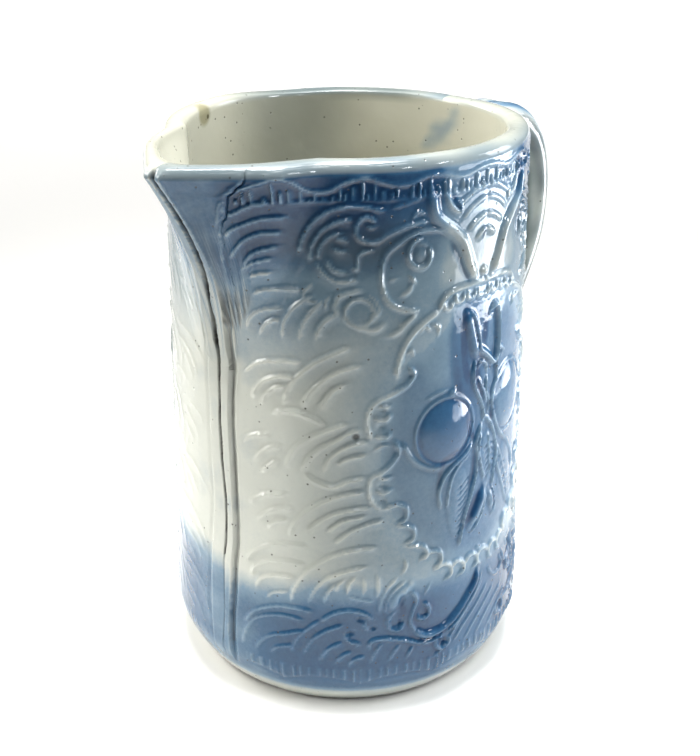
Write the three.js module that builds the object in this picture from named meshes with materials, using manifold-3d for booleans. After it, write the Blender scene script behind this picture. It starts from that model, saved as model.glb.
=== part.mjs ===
// A stoneware pitcher. The spout points along +X, the handle along -X, and the foot stands on z = 0.
// All lengths are in millimetres and all angles in degrees.
import * as THREE from 'three';
import { mergeVertices } from 'three/addons/utils/BufferGeometryUtils.js';
import Module from 'manifold-3d';

const wasm = await Module();
wasm.setup();

// Sizes that may be changed one at a time.
const height = 216;
const rimRadius = 66.5;
const bellyRadius = 71;
const footRadius = 60.3;
const footRise = 22;
const wall = 8.4;
const floorThickness = 9.5;
const slabRadius = 53;
const spoutReach = 31.5;
const spoutHeight = 78;
const spoutWall = 6.6;
const strapHalfAngle = 5.2;
const strapRise = 1;
const handleReach = 53.5;
const handleTopDrop = 14;
const handleBottomHeight = 88;
const handleWidth = 24;
const handleThickness = 12;
const medallionHalfAngle = 38;
const medallionHalfHeight = 57;
const medallionAngle = 87;
const medallionHeight = 111;
const topLineDrop = 8.6;
const topLineSwing = 2;
const bottomLineHeight = 14;
const bottomLineSwing = 0.8;
const linePeriod = 25;

// Clearances between pieces. Every joint is a thin line, as two clay faces pressed together leave it.
const seamGap = 0.3;
const luteGap = 0.3;
const slabGap = 0.3;

const radians = (degrees) => degrees * Math.PI / 180;
const clamp = (value, low, high) => Math.min(high, Math.max(low, value));
const lerp = (from, to, share) => from + (to - from) * share;

// Reads a value off a short list of [place, value] pairs, in straight steps between them.
function along(pairs, place) {
  for (let i = 1; i < pairs.length; i += 1) {
    if (place <= pairs[i][0]) {
      const share = clamp((place - pairs[i - 1][0]) / (pairs[i][0] - pairs[i - 1][0]), 0, 1);
      return lerp(pairs[i - 1][1], pairs[i][1], share);
    }
  }
  return pairs[pairs.length - 1][1];
}

// Turns rings of points into one closed surface. Each ring has the same number of points. An open loft is
// closed by a fan over its first and last ring, and a looped one joins its last ring to its first.
function loft(rings, looped = false) {
  const count = rings[0].length;
  const points = rings.flat();
  const faces = [];
  const last = looped ? rings.length : rings.length - 1;
  for (let i = 0; i < last; i += 1) {
    const next = (i + 1) % rings.length;
    for (let j = 0; j < count; j += 1) {
      const a = i * count + j;
      const b = i * count + (j + 1) % count;
      const c = next * count + j;
      const d = next * count + (j + 1) % count;
      faces.push(a, b, d, a, d, c);
    }
  }
  if (!looped) {
    for (const [ring, flip] of [[0, true], [rings.length - 1, false]]) {
      const middle = points.length;
      const sum = rings[ring].reduce((total, p) => total.map((value, k) => value + p[k]), [0, 0, 0]);
      points.push(sum.map((value) => value / count));
      for (let j = 0; j < count; j += 1) {
        const a = ring * count + j;
        const b = ring * count + (j + 1) % count;
        faces.push(...(flip ? [middle, b, a] : [middle, a, b]));
      }
    }
  }
  const geometry = new THREE.BufferGeometry();
  geometry.setAttribute('position', new THREE.Float32BufferAttribute(points.flat(), 3));
  geometry.setIndex(faces);
  return geometry;
}

// A geometry as a solid that can be added to or cut from another.
function solid(geometry) {
  const bare = new THREE.BufferGeometry();
  bare.setAttribute('position', geometry.getAttribute('position').clone());
  if (geometry.getIndex()) bare.setIndex(geometry.getIndex().clone());
  const merged = mergeVertices(bare, 1e-4);
  const mesh = new wasm.Mesh({
    numProp: 3,
    vertProperties: new Float32Array(merged.getAttribute('position').array),
    triVerts: new Uint32Array(merged.getIndex().array),
  });
  const made = new wasm.Manifold(mesh);
  if (made.volume() > 0) return made;
  const turned = merged.getIndex().array.slice();
  for (let i = 0; i < turned.length; i += 3) {
    [turned[i + 1], turned[i + 2]] = [turned[i + 2], turned[i + 1]];
  }
  return new wasm.Manifold(new wasm.Mesh({
    numProp: 3,
    vertProperties: new Float32Array(merged.getAttribute('position').array),
    triVerts: new Uint32Array(turned),
  }));
}

function box(low, high) {
  const size = high.map((value, k) => value - low[k]);
  const geometry = new THREE.BoxGeometry(...size);
  geometry.translate(...high.map((value, k) => (value + low[k]) / 2));
  return solid(geometry);
}

// The outer radius of the wall at a height: a rounded foot, a low belly and a slow taper to the rim.
function wallRadius(z) {
  if (z < footRise) {
    const rise = Math.sin(Math.PI / 2 * clamp(z / footRise, 0, 1)) ** 0.8;
    return lerp(footRadius, bellyRadius, rise);
  }
  const share = clamp((z - footRise) / (height - footRise), 0, 1);
  return lerp(rimRadius, bellyRadius, (1 - share) ** 1.5);
}

// The plain strip left along both seams, where the two moulded halves meet, with a shallow line down its middle.
function strapAt(angle, z) {
  const away = Math.min(Math.abs(angle), Math.abs(Math.abs(angle) - 180));
  const edge = clamp((strapHalfAngle + 0.3 - away) / 0.6, 0, 1);
  const line = clamp(1 - away / 0.9, 0, 1);
  const ends = clamp((z - 10) / 4, 0, 1) * clamp((height - 4 - z) / 4, 0, 1);
  return (strapRise * edge - 0.9 * line) * ends;
}

const bodyAngles = [];
for (let angle = -180; angle < 180; angle += 6) bodyAngles.push(angle);
for (const middle of [-180, 0]) {
  for (const away of [1, strapHalfAngle - 0.3, strapHalfAngle + 0.3]) {
    bodyAngles.push(middle + away, middle === 0 ? -away : 180 - away);
  }
}
bodyAngles.sort((a, b) => a - b);

const lipDepth = 3;
const bodyShares = [0, 0.01, 0.023, 0.042, 0.065, 0.1, 0.22, 0.37, 0.52, 0.685, 0.856];
const bodyLevels = bodyShares.map((share) => share * height).concat([
  height - 8, height - lipDepth, height - 0.35 * lipDepth, height,
]);

// How far the outside of the lip turns in at a height.
function lipTurn(z) {
  const up = clamp((z - (height - lipDepth)) / lipDepth, 0, 1);
  return 2.6 * (1 - Math.sqrt(1 - up * up * 0.98));
}

function ringAt(z, radiusAt) {
  return bodyAngles.map((angle) => {
    const radius = radiusAt(angle);
    return [radius * Math.cos(radians(angle)), radius * Math.sin(radians(angle)), z];
  });
}

function bodyOutside(offset = 0) {
  return solid(loft(bodyLevels.map((z) => ringAt(
    z === height && offset ? z + offset : z,
    (angle) => wallRadius(z) + strapAt(angle, z) + offset - (offset ? 0 : lipTurn(z)),
  ))));
}

// A round solid from a list of [height, radius] pairs.
function drum(levels, count) {
  return solid(loft(levels.map(([z, radius]) => {
    const ring = [];
    for (let i = 0; i < count; i += 1) {
      const turn = 2 * Math.PI * i / count;
      ring.push([radius * Math.cos(turn), radius * Math.sin(turn), z]);
    }
    return ring;
  })));
}

// The hollow, from the top of the floor to above the rim.
const insideRadius = (z) => wallRadius(Math.max(z, footRise)) - wall;
function hollow() {
  const bottom = floorThickness;
  const upper = (share) => lerp(bottom, height, share);
  return drum([
    [bottom, slabRadius + 0.2], [bottom + 1, slabRadius + 3.4], [bottom + 4, insideRadius(bottom) - 2.6],
    [bottom + 9, insideRadius(bottom) - 0.6], [bottom + 16, insideRadius(bottom + 16)],
    [upper(0.4), insideRadius(upper(0.4))], [upper(0.7), insideRadius(upper(0.7))],
    [height - lipDepth - 1, insideRadius(height)], [height - 1, insideRadius(height) + 0.5],
    [height, insideRadius(height) + 1.8], [height + 4, insideRadius(height) + 1.8],
  ], 56);
}

// The spout grows out of the front strip as a narrow keel that leans out faster and faster towards the rim.
const spoutFoot = height - spoutHeight;
const keelFoot = wallRadius(spoutFoot) + strapRise;
const spoutTip = rimRadius + spoutReach;
const spoutShare = (z) => clamp((z - spoutFoot) / spoutHeight, 0, 1) ** 1.44;
const keelRadius = (z) => lerp(keelFoot, spoutTip, spoutShare(z));
const keelHalfWidth = (z) => lerp(5.5, 2.5, clamp((z - spoutFoot) / (spoutHeight / 2), 0, 1));
const flankAngle = (z) => 8 + 34 * spoutShare(z) ** 0.6;

// Each side of the spout swells a little in its middle, so in plan it is an S and not a straight V.
const flankSwell = [[0, 0], [0.15, 0], [0.28, 2.8], [0.41, 4.2], [0.6, 3.4], [0.8, 1.8], [1, 0]];
function flank(z, inset) {
  const share = spoutShare(z);
  const angle = radians(flankAngle(z));
  const start = new THREE.Vector2(Math.cos(angle), Math.sin(angle)).multiplyScalar(wallRadius(z) - inset);
  const end = new THREE.Vector2(keelRadius(z) - inset * 1.25, keelHalfWidth(z));
  const run = end.clone().sub(start);
  const outward = new THREE.Vector2(-run.y, run.x).normalize();
  if (outward.x < 0) outward.negate();
  return flankSwell.map(([place, swell]) => {
    const point = start.clone().addScaledVector(run, place).addScaledVector(outward, swell * share);
    return [point.x, point.y];
  });
}

// The outside of the body at an angle and a height, with the swell at the sides of the spout.
function surfaceRadius(angle, z) {
  const plain = wallRadius(z);
  const away = Math.abs(angle);
  if (z <= spoutFoot || away >= flankAngle(z)) return plain;
  const side = flank(z, 0);
  const ray = [Math.cos(radians(away)), Math.sin(radians(away))];
  for (let i = 1; i < side.length; i += 1) {
    const before = side[i - 1][1] * ray[0] - side[i - 1][0] * ray[1];
    const after = side[i][1] * ray[0] - side[i][0] * ray[1];
    if (before >= 0 && after <= 0) {
      const share = before / (before - after || 1);
      const x = lerp(side[i - 1][0], side[i][0], share);
      const y = lerp(side[i - 1][1], side[i][1], share);
      return Math.max(plain, Math.hypot(x, y));
    }
  }
  return keelRadius(z);
}

function spoutOutside() {
  const shares = [-0.08, 0, 0.08, 0.18, 0.31, 0.44, 0.58, 0.72, 0.85, 0.92];
  const levels = shares.map((share) => spoutFoot + share * spoutHeight);
  levels.push(height - 1.4, height);
  return solid(loft(levels.map((z) => {
    const inset = z < spoutFoot ? 1.6 : z > height - 1 ? 1.6 : 0;
    const side = flank(z, inset);
    const keel = keelRadius(z) - inset;
    const half = [[rimRadius * 0.66, side[0][1]], ...side, [keel + 0.1, 1.1], [keel - 1.3, 0.1]];
    const mirrored = half.map(([x, y]) => [x, -y]).reverse();
    return half.concat(mirrored).map(([x, y]) => [x, y, z]);
  })));
}

// The channel behind the spout: a V that opens through the round wall and closes before the keel's foot.
const channelDepth = spoutHeight * 0.56;
function channel() {
  const steps = [0, 0.08, 0.18, 0.3, 0.45, 0.6, 0.78, 0.9, 1, 1.06];
  return solid(loft(steps.map((share) => {
    const z = height - channelDepth * (1 - share);
    const deep = clamp(share, 0, 1);
    const inner = insideRadius(height);
    const apex = Math.max(inner - 3 + 14 * deep, keelRadius(z) - spoutWall * lerp(2.7, 1.6, Math.sqrt(deep)));
    const mouthAngle = radians(lerp(2.5, 34, deep ** 0.75));
    const mouth = [inner * Math.cos(mouthAngle), inner * Math.sin(mouthAngle)];
    const bend = [lerp(mouth[0], apex, 0.52), mouth[1] * 0.7];
    const back = inner * 0.55;
    const slope = (mouth[1] - bend[1]) / Math.max(1, bend[0] - mouth[0]);
    const opened = mouth[1] + Math.min(slope, 0.5) * (mouth[0] - back);
    const half = [[back, opened], bend, [apex, Math.min(1.6, mouth[1] * 0.4)]];
    const mirrored = half.map(([x, y]) => [x, -y]).reverse();
    return half.concat(mirrored).map(([x, y]) => [x, y, z]);
  })));
}

// The line along which the spout was pressed on to the body, as half-widths at shares of the spout's height.
const luteLine = [[0, 5.6], [0.2, 9], [0.41, 13.4], [0.6, 15.4], [0.79, 17.6], [0.9, 21], [1, 26.5]];
function spoutSlot(offset) {
  const shares = [-0.02, ...luteLine.map(([share]) => share), 1.2];
  const near = rimRadius * 0.6;
  const far = spoutTip + 20;
  return solid(loft(shares.map((share) => {
    const z = spoutFoot + spoutHeight * share - (share < 0 ? offset : 0);
    const half = along(luteLine, share) + offset;
    return [[near, -half, z], [far, -half, z], [far, half, z], [near, half, z]];
  })));
}

// A ridge laid along a line on the wall. Each stop gives an angle, a height, a half-width and a rise.
function ridge(stops, looped = false) {
  const at = ([angle, z], rise) => {
    const radius = surfaceRadius(angle, z) + rise;
    return new THREE.Vector3(radius * Math.cos(radians(angle)), radius * Math.sin(radians(angle)), z);
  };
  return solid(loft(stops.map((stop, i) => {
    const count = stops.length;
    const before = stops[looped ? (i + count - 1) % count : Math.max(0, i - 1)];
    const after = stops[looped ? (i + 1) % count : Math.min(count - 1, i + 1)];
    const centre = at(stop, 0);
    const out = new THREE.Vector3(centre.x, centre.y, 0).normalize();
    const run = at(after, 0).sub(at(before, 0)).normalize();
    const side = new THREE.Vector3().crossVectors(out, run).normalize();
    const [, , halfWidth, rise] = stop;
    return [[-1, -1.6], [-0.55, rise * 0.75], [0, rise], [0.55, rise * 0.75], [1, -1.6]].map(([across, up]) => (
      centre.clone().addScaledVector(side, across * halfWidth).addScaledVector(out, up).toArray()
    ));
  }), looped));
}

// A wavy line round the body, from the front to the strip at the back.
function wavyLine(z, swing, side, from, to) {
  const stops = [];
  const count = Math.round((to - from) / linePeriod * 5);
  for (let i = 0; i <= count; i += 1) {
    const angle = lerp(from, to, i / count);
    const wave = swing * Math.cos(radians((angle - 22) * 360 / linePeriod));
    stops.push([side * angle, z + wave, 1.3, 0.8]);
  }
  return ridge(stops);
}

// The scalloped frame on each side, its two round fruits, their stalks and the leaves that hang below them.
function medallionFrame(side) {
  const stops = [];
  const scallops = 18;
  const count = scallops * 4;
  for (let i = 0; i < count; i += 1) {
    const turn = 2 * Math.PI * i / count;
    const scallop = 1 + 0.035 * Math.abs(Math.cos(turn * scallops / 2));
    const across = Math.sign(Math.cos(turn)) * Math.abs(Math.cos(turn)) ** 0.85 * scallop;
    const up = Math.sign(Math.sin(turn)) * Math.abs(Math.sin(turn)) ** 0.9 * scallop;
    const taper = up < 0 ? 1 + 0.14 * up : 1;
    stops.push([
      side * (medallionAngle - medallionHalfAngle * across * taper),
      medallionHeight + medallionHalfHeight * up, 2.1, 1.2,
    ]);
  }
  return ridge(stops, true);
}

// The angle at the back that the upper end of the handle and its smeared clay take up.
const smearWidth = 10;
const handleSpread = (handleWidth * 0.58 + smearWidth) / rimRadius * 180 / Math.PI;

// Places inside the frame are given as shares of its half-angle and half-height.
const inFrame = (side, across, up) => [
  side * (medallionAngle + medallionHalfAngle * across), medallionHeight + medallionHalfHeight * up,
];

function fruit(side, across, up, halfWidth, halfHeight, rise) {
  const [angle, z] = inFrame(side, across, up);
  const geometry = new THREE.SphereGeometry(1, 14, 8);
  geometry.scale(rise + 2, halfWidth, halfHeight);
  geometry.translate(wallRadius(z) - 2, 0, z);
  geometry.rotateZ(radians(angle));
  return solid(geometry);
}

function leaf(side, from, to, halfWidth) {
  const stops = [];
  for (let i = 0; i <= 6; i += 1) {
    const share = i / 6;
    const [angle, z] = inFrame(side, lerp(from[0], to[0], share), lerp(from[1], to[1], share));
    stops.push([angle, z, 0.5 + halfWidth * Math.sin(Math.PI * share) ** 0.8, 0.3 + 0.9 * Math.sin(Math.PI * share)]);
  }
  return ridge(stops);
}

function stalk(side, places) {
  return ridge(places.map(([across, up]) => [...inFrame(side, across, up), 1.5, 1]));
}

function relief(side) {
  return [
    wavyLine(height - topLineDrop, topLineSwing, side, 19, 180 - handleSpread),
    wavyLine(bottomLineHeight, bottomLineSwing, side, strapHalfAngle + 3, 177 - strapHalfAngle),
    medallionFrame(side),
    fruit(side, -0.41, 0.13, 12.6, 11.6, 2.6),
    fruit(side, 0.46, 0.09, 12, 13.5, 2.6),
    leaf(side, [-0.08, 0.02], [-0.22, -0.76], 4.4),
    leaf(side, [0.05, 0.08], [0.12, -0.44], 4),
    leaf(side, [0.12, -0.4], [-0.1, -0.72], 2.4),
    leaf(side, [0.3, -0.1], [0.62, -0.72], 4.4),
    stalk(side, [[-0.17, 0.82], [-0.13, 0.64], [-0.03, 0.52], [0.11, 0.48], [0.23, 0.54], [0.27, 0.68], [0.22, 0.84]]),
    stalk(side, [[-0.3, 0.24], [-0.12, 0.36], [0, 0.5]]),
    stalk(side, [[0.04, 0.5], [0.02, 0.28], [0, 0.04]]),
    stalk(side, [[0.16, 0.5], [0.26, 0.38], [0.36, 0.26]]),
  ];
}

// The handle is an ear: it leaves the wall just under the rim, turns down and comes back in below the middle.
const handleTop = height - handleTopDrop;
const handleMiddle = lerp(handleBottomHeight, handleTop, 0.66);
const handlePath = new THREE.CatmullRomCurve3([
  [wallRadius(handleTop) - 8, handleTop - 1],
  [wallRadius(handleTop) + handleReach * 0.22, handleTop + 0.8],
  [wallRadius(handleTop) + handleReach * 0.62, handleTop - 0.6],
  [wallRadius(handleTop) + handleReach * 0.9, lerp(handleMiddle, handleTop, 0.66)],
  [wallRadius(handleTop) + handleReach, lerp(handleMiddle, handleTop, 0.2)],
  [wallRadius(handleTop) + handleReach * 0.95, lerp(handleBottomHeight, handleMiddle, 0.76)],
  [wallRadius(handleTop) + handleReach * 0.7, lerp(handleBottomHeight, handleMiddle, 0.44)],
  [wallRadius(handleTop) + handleReach * 0.36, lerp(handleBottomHeight, handleMiddle, 0.17)],
  [wallRadius(handleBottomHeight) - 8, handleBottomHeight - 6],
].map(([radius, z]) => new THREE.Vector3(-radius, 0, z)), false, 'centripetal');

const strapSides = 14;

// A rounded strap swept along part of the handle's line. The two functions give its half-width and half-thickness.
function strapAlong(from, to, count, halfWidth, halfThickness) {
  const rings = [];
  for (let i = 0; i <= count; i += 1) {
    const share = i / count;
    const place = lerp(from, to, share);
    const centre = handlePath.getPointAt(place);
    const run = handlePath.getTangentAt(place);
    const side = new THREE.Vector3(0, 1, 0);
    const out = new THREE.Vector3().crossVectors(side, run).normalize();
    const ring = [];
    for (let j = 0; j < strapSides; j += 1) {
      const turn = 2 * Math.PI * j / strapSides;
      const across = Math.sign(Math.cos(turn)) * Math.abs(Math.cos(turn)) ** 0.75 * halfWidth(share);
      const up = Math.sign(Math.sin(turn)) * Math.abs(Math.sin(turn)) ** 0.75 * halfThickness(share);
      ring.push(centre.clone().addScaledVector(side, across).addScaledVector(out, up).toArray());
    }
    rings.push(ring);
  }
  return solid(loft(rings));
}

const strapHalfWidth = (share) => handleWidth / 2 * (1 + 0.16 * Math.abs(share * 2 - 1) ** 3);
const strapHalfThickness = (share) => handleThickness / 2 * (1 + 0.22 * Math.abs(share * 2 - 1) ** 3);
const handleBar = (offset) => strapAlong(
  0, 1, 26, (share) => strapHalfWidth(share) + offset, (share) => strapHalfThickness(share) + offset,
);

// The clay smeared round each end of the handle to hold it, widest against the wall.
const collarLength = 0.15;
function collar(fromTop) {
  const start = fromTop ? 0 : 1;
  const end = fromTop ? collarLength : 1 - collarLength;
  const flare = (share) => 0.9 + 5.5 * (1 - share) ** 2.2;
  const lift = (share) => 0.9 + 2.6 * (1 - share) ** 2.2;
  return strapAlong(
    start, end, 6,
    (share) => strapHalfWidth(lerp(start, end, share)) + flare(share),
    (share) => strapHalfThickness(lerp(start, end, share)) + lift(share),
  );
}

const body = bodyOutside();
const bodyEnvelope = bodyOutside(luteGap);
const spout = spoutOutside();
const cavity = hollow();
const spoutChannel = channel();
const slot = spoutSlot(0);
const slotWide = spoutSlot(luteGap);
const slabSides = 60;
const seat = drum([[-1, slabRadius + slabGap], [floorThickness + 0.5, slabRadius + slabGap]], slabSides);
const far = 300;
const sideBlock = (side) => (side > 0
  ? box([-far, seamGap / 2, -far], [far, far, 2 * far])
  : box([-far, -far, -far], [far, -seamGap / 2, 2 * far]));

function bodyHalf(side) {
  let half = body.add(spout.subtract(slotWide));
  for (const part of relief(side)) half = half.add(part);
  half = half.subtract(slotWide.intersect(spout.subtract(bodyOutside(-0.02))));
  return half.subtract(cavity).subtract(spoutChannel).subtract(seat).intersect(sideBlock(side));
}

function spoutHalf(side) {
  return spout.intersect(slot).subtract(bodyEnvelope).subtract(spoutChannel).intersect(sideBlock(side));
}

const base = drum([[0, slabRadius - 0.6], [0.6, slabRadius], [floorThickness, slabRadius]], slabSides);
const bar = handleBar(0);
const barWide = handleBar(luteGap);
const handle = bar.subtract(bodyEnvelope);
const upperLute = collar(true).subtract(barWide).subtract(bodyEnvelope);
const lowerLute = collar(false).subtract(barWide).subtract(bodyEnvelope);

// The largest single body of a cut, with any loose crumb left out.
function whole(made) {
  const bodies = made.decompose();
  return bodies.reduce((best, one) => (one.volume() > best.volume() ? one : best), bodies[0]);
}

function meshOf(made, name, colour) {
  const out = whole(made).getMesh();
  const geometry = new THREE.BufferGeometry();
  geometry.setAttribute('position', new THREE.Float32BufferAttribute(out.vertProperties, 3));
  geometry.setIndex(Array.from(out.triVerts));
  const material = new THREE.MeshStandardMaterial({ color: colour, roughness: 0.35 });
  const mesh = new THREE.Mesh(geometry, material);
  mesh.name = name;
  return mesh;
}

const group = new THREE.Group();
group.name = 'stoneware_pitcher';
group.add(
  meshOf(bodyHalf(1), 'body_half_left', 0xaebccb),
  meshOf(bodyHalf(-1), 'body_half_right', 0xa4b4c6),
  meshOf(spoutHalf(1), 'spout_half_left', 0x7f93b0),
  meshOf(spoutHalf(-1), 'spout_half_right', 0x778cab),
  meshOf(base, 'base_slab', 0xd9d3c3),
  meshOf(handle, 'handle', 0xb9c6d2),
  meshOf(upperLute, 'handle_upper_lute', 0x9fb0c4),
  meshOf(lowerLute, 'handle_lower_lute', 0x9fb0c4),
);

export default group;
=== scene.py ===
# A moulded stoneware pitcher under a glossy glaze, with airbrushed cobalt bands.
# Shapes are worked out in millimetres and degrees, and turned to metres where a mesh is made.
# Angles run round the upright axis: 0 at the spout, 90 at the middle of the photographed side.
import math

import bpy
import numpy as np
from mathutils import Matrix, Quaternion, Vector


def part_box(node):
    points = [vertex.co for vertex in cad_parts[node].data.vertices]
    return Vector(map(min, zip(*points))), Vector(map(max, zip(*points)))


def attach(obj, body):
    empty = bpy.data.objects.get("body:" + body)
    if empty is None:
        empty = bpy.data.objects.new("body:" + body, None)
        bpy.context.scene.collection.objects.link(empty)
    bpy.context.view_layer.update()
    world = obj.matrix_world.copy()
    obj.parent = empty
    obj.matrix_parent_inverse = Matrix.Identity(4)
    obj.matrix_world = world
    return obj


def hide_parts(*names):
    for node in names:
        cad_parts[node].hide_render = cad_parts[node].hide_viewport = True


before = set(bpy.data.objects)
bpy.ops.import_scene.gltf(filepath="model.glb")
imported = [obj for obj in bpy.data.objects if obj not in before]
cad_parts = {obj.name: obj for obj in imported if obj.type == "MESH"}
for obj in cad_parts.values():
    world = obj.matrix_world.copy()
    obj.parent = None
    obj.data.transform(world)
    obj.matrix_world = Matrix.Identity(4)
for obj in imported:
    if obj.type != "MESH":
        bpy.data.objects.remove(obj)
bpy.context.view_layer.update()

mm = 0.001


def nodeBox(node):
    low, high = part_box(node)
    return np.array(low) / mm, np.array(high) / mm


def lerp(start, end, share):
    return start + (end - start) * share


def smoothStep(value):
    share = np.clip(value, 0.0, 1.0)
    return share * share * (3.0 - 2.0 * share)


def smoothMax(first, second, blend):
    gap = np.clip(0.5 + 0.5 * (first - second) / blend, 0.0, 1.0)
    return lerp(second, first, gap) + blend * gap * (1.0 - gap)


# A smooth curve through given stops, as closely spaced points.
def curveThrough(stops, step=0.9):
    points = np.array(stops, float)
    if len(points) < 3:
        count = max(2, int(np.linalg.norm(points[-1] - points[0]) / step) + 1)
        return points[0] + (points[-1] - points[0]) * np.linspace(0, 1, count)[:, None]
    padded = np.vstack([2 * points[0] - points[1], points, 2 * points[-1] - points[-2]])
    pieces = []
    for i in range(1, len(padded) - 2):
        p0, p1, p2, p3 = padded[i - 1:i + 3]
        t1 = np.linalg.norm(p1 - p0) ** 0.5
        t2 = t1 + np.linalg.norm(p2 - p1) ** 0.5
        t3 = t2 + np.linalg.norm(p3 - p2) ** 0.5
        count = max(3, int(np.linalg.norm(p2 - p1) / step) + 1)
        t = np.linspace(t1, t2, count, endpoint=False)[:, None]
        a1 = (t1 - t) / t1 * p0 + t / t1 * p1
        a2 = (t2 - t) / (t2 - t1) * p1 + (t - t1) / (t2 - t1) * p2
        a3 = (t3 - t) / (t3 - t2) * p2 + (t - t2) / (t3 - t2) * p3
        b1 = (t2 - t) / t2 * a1 + t / t2 * a2
        b2 = (t3 - t) / (t3 - t1) * a2 + (t - t1) / (t3 - t1) * a3
        pieces.append((t2 - t) / (t2 - t1) * b1 + (t - t1) / (t2 - t1) * b2)
    pieces.append(padded[-2:-1])
    return np.vstack(pieces)


# Slow waves that make a surface look hand finished: a few sines with fixed phases, about -1 to 1.
def unevenness(x, y, z, size, phase):
    total = 0.0
    for k in range(6):
        turn = phase + 1.9 * k
        tilt = 0.7 * phase + 2.6 * k
        fine = 1.0 + 0.37 * k
        flat = x * math.cos(turn) + y * math.sin(turn)
        total = total + np.sin((flat * math.cos(tilt) + z * math.sin(tilt)) * fine / size + 2.3 * turn) / fine
    return total / 2.4


# A ragged line: three sines, about -1 to 1.
def ragged(place, phase):
    slow = np.sin(place * 1.1 + phase) + 0.7 * np.sin(place * 2.3 + 2 * phase)
    return (slow + 0.45 * np.sin(place * 4.1 + phase * 3)) / 2.15


# The slow waves on the pitcher's wall, for places given by their angle and height on one side.
def wallWaves(angle, z, side, size, phase, radius=70.0):
    around = np.radians(angle)
    return unevenness(radius * np.cos(around), side * radius * np.sin(around), z, size, phase)


# Body and spout. columnSteps are (from, to, count) in degrees, closest where the relief is seen square on.

body = {
    "height": nodeBox("body_half_left")[1][2],
    "rimRadius": 66.5,
    "bellyRadius": 71.0,
    "bellyCurve": 1.5,
    "footRadius": 60.3,
    "footRise": 22.0,
    "footCurve": 0.8,
    "wall": 8.4,
    "floor": nodeBox("base_slab")[1][2],
    "slabRadius": nodeBox("base_slab")[1][0],
    "filletHeight": 16.0,
    "rowStep": 0.75,
    "columnSteps": [(0, 6, 20), (6, 58, 75), (58, 110, 113), (110, 124, 16), (124, 180, 36)],
    "squeezedColumns": 26.0,
}
# The rounded lip: its dip at the far side, its rise towards the viewer, and how square its two edges are.
lip = {
    "depth": 3.4,
    "rows": 13,
    "dip": 1.7,
    "rise": 1.1,
    "sway": 0.4,
    "acrossPower": 0.82,
    "upPower": 0.85,
}
spout = {
    "foot": nodeBox("spout_half_left")[0][2],
    "tip": nodeBox("spout_half_left")[1][0] - 0.2,
    "keelCurve": 1.92,
    "shareCurve": 1.44,
    "flankFrom": 8.0,
    "flankOpens": 34.0,
    "flankCurve": 0.6,
    "blendHeight": 7.0,
    "swell": [0.0, 0.0, 2.6, 4.2, 3.4, 1.8, 0.0],
    "swellAt": [0.0, 0.15, 0.28, 0.41, 0.6, 0.8, 1.0],
    "rounding": 4.0,
    "luteAt": [138, 150, 160, 170, 180, 188, 194, 198, 201, 203, 206.7, 209.2, 211.7, 213.5, 216],
    "luteAngle": [5.6, 7.6, 8.6, 9.4, 9.8, 9.9, 10.2, 11.0, 12.0, 12.5, 13.3, 14.8, 17.0, 18.2, 19.6],
}
# The V channel inside the spout: run is the share of its depth left at each share of its half-width.
pocket = {
    "depth": 43.7,
    "bottomAngle": 2.5,
    "nearAngle": 34.5,
    "farAngle": 45.0,
    "opening": 0.75,
    "runAt": [0.0, 0.03, 0.134, 0.277, 0.426, 0.574, 0.72, 0.86, 1.0],
    "run": [1.0, 0.985, 0.925, 0.765, 0.62, 0.45, 0.26, 0.115, 0.0],
}
height = body["height"]
lipStart = height - lip["depth"]
ledge = spout["foot"]
spoutRun = height - ledge


def wallRadius(z):
    z = np.asarray(z, float)
    low = lerp(body["footRadius"], body["bellyRadius"],
               np.sin(np.pi / 2 * np.clip(z / body["footRise"], 0, 1)) ** body["footCurve"])
    up = np.clip((z - body["footRise"]) / (height - body["footRise"]), 0, 1)
    high = lerp(body["rimRadius"], body["bellyRadius"], (1 - up) ** body["bellyCurve"])
    return np.where(z < body["footRise"], low, high)


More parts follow.
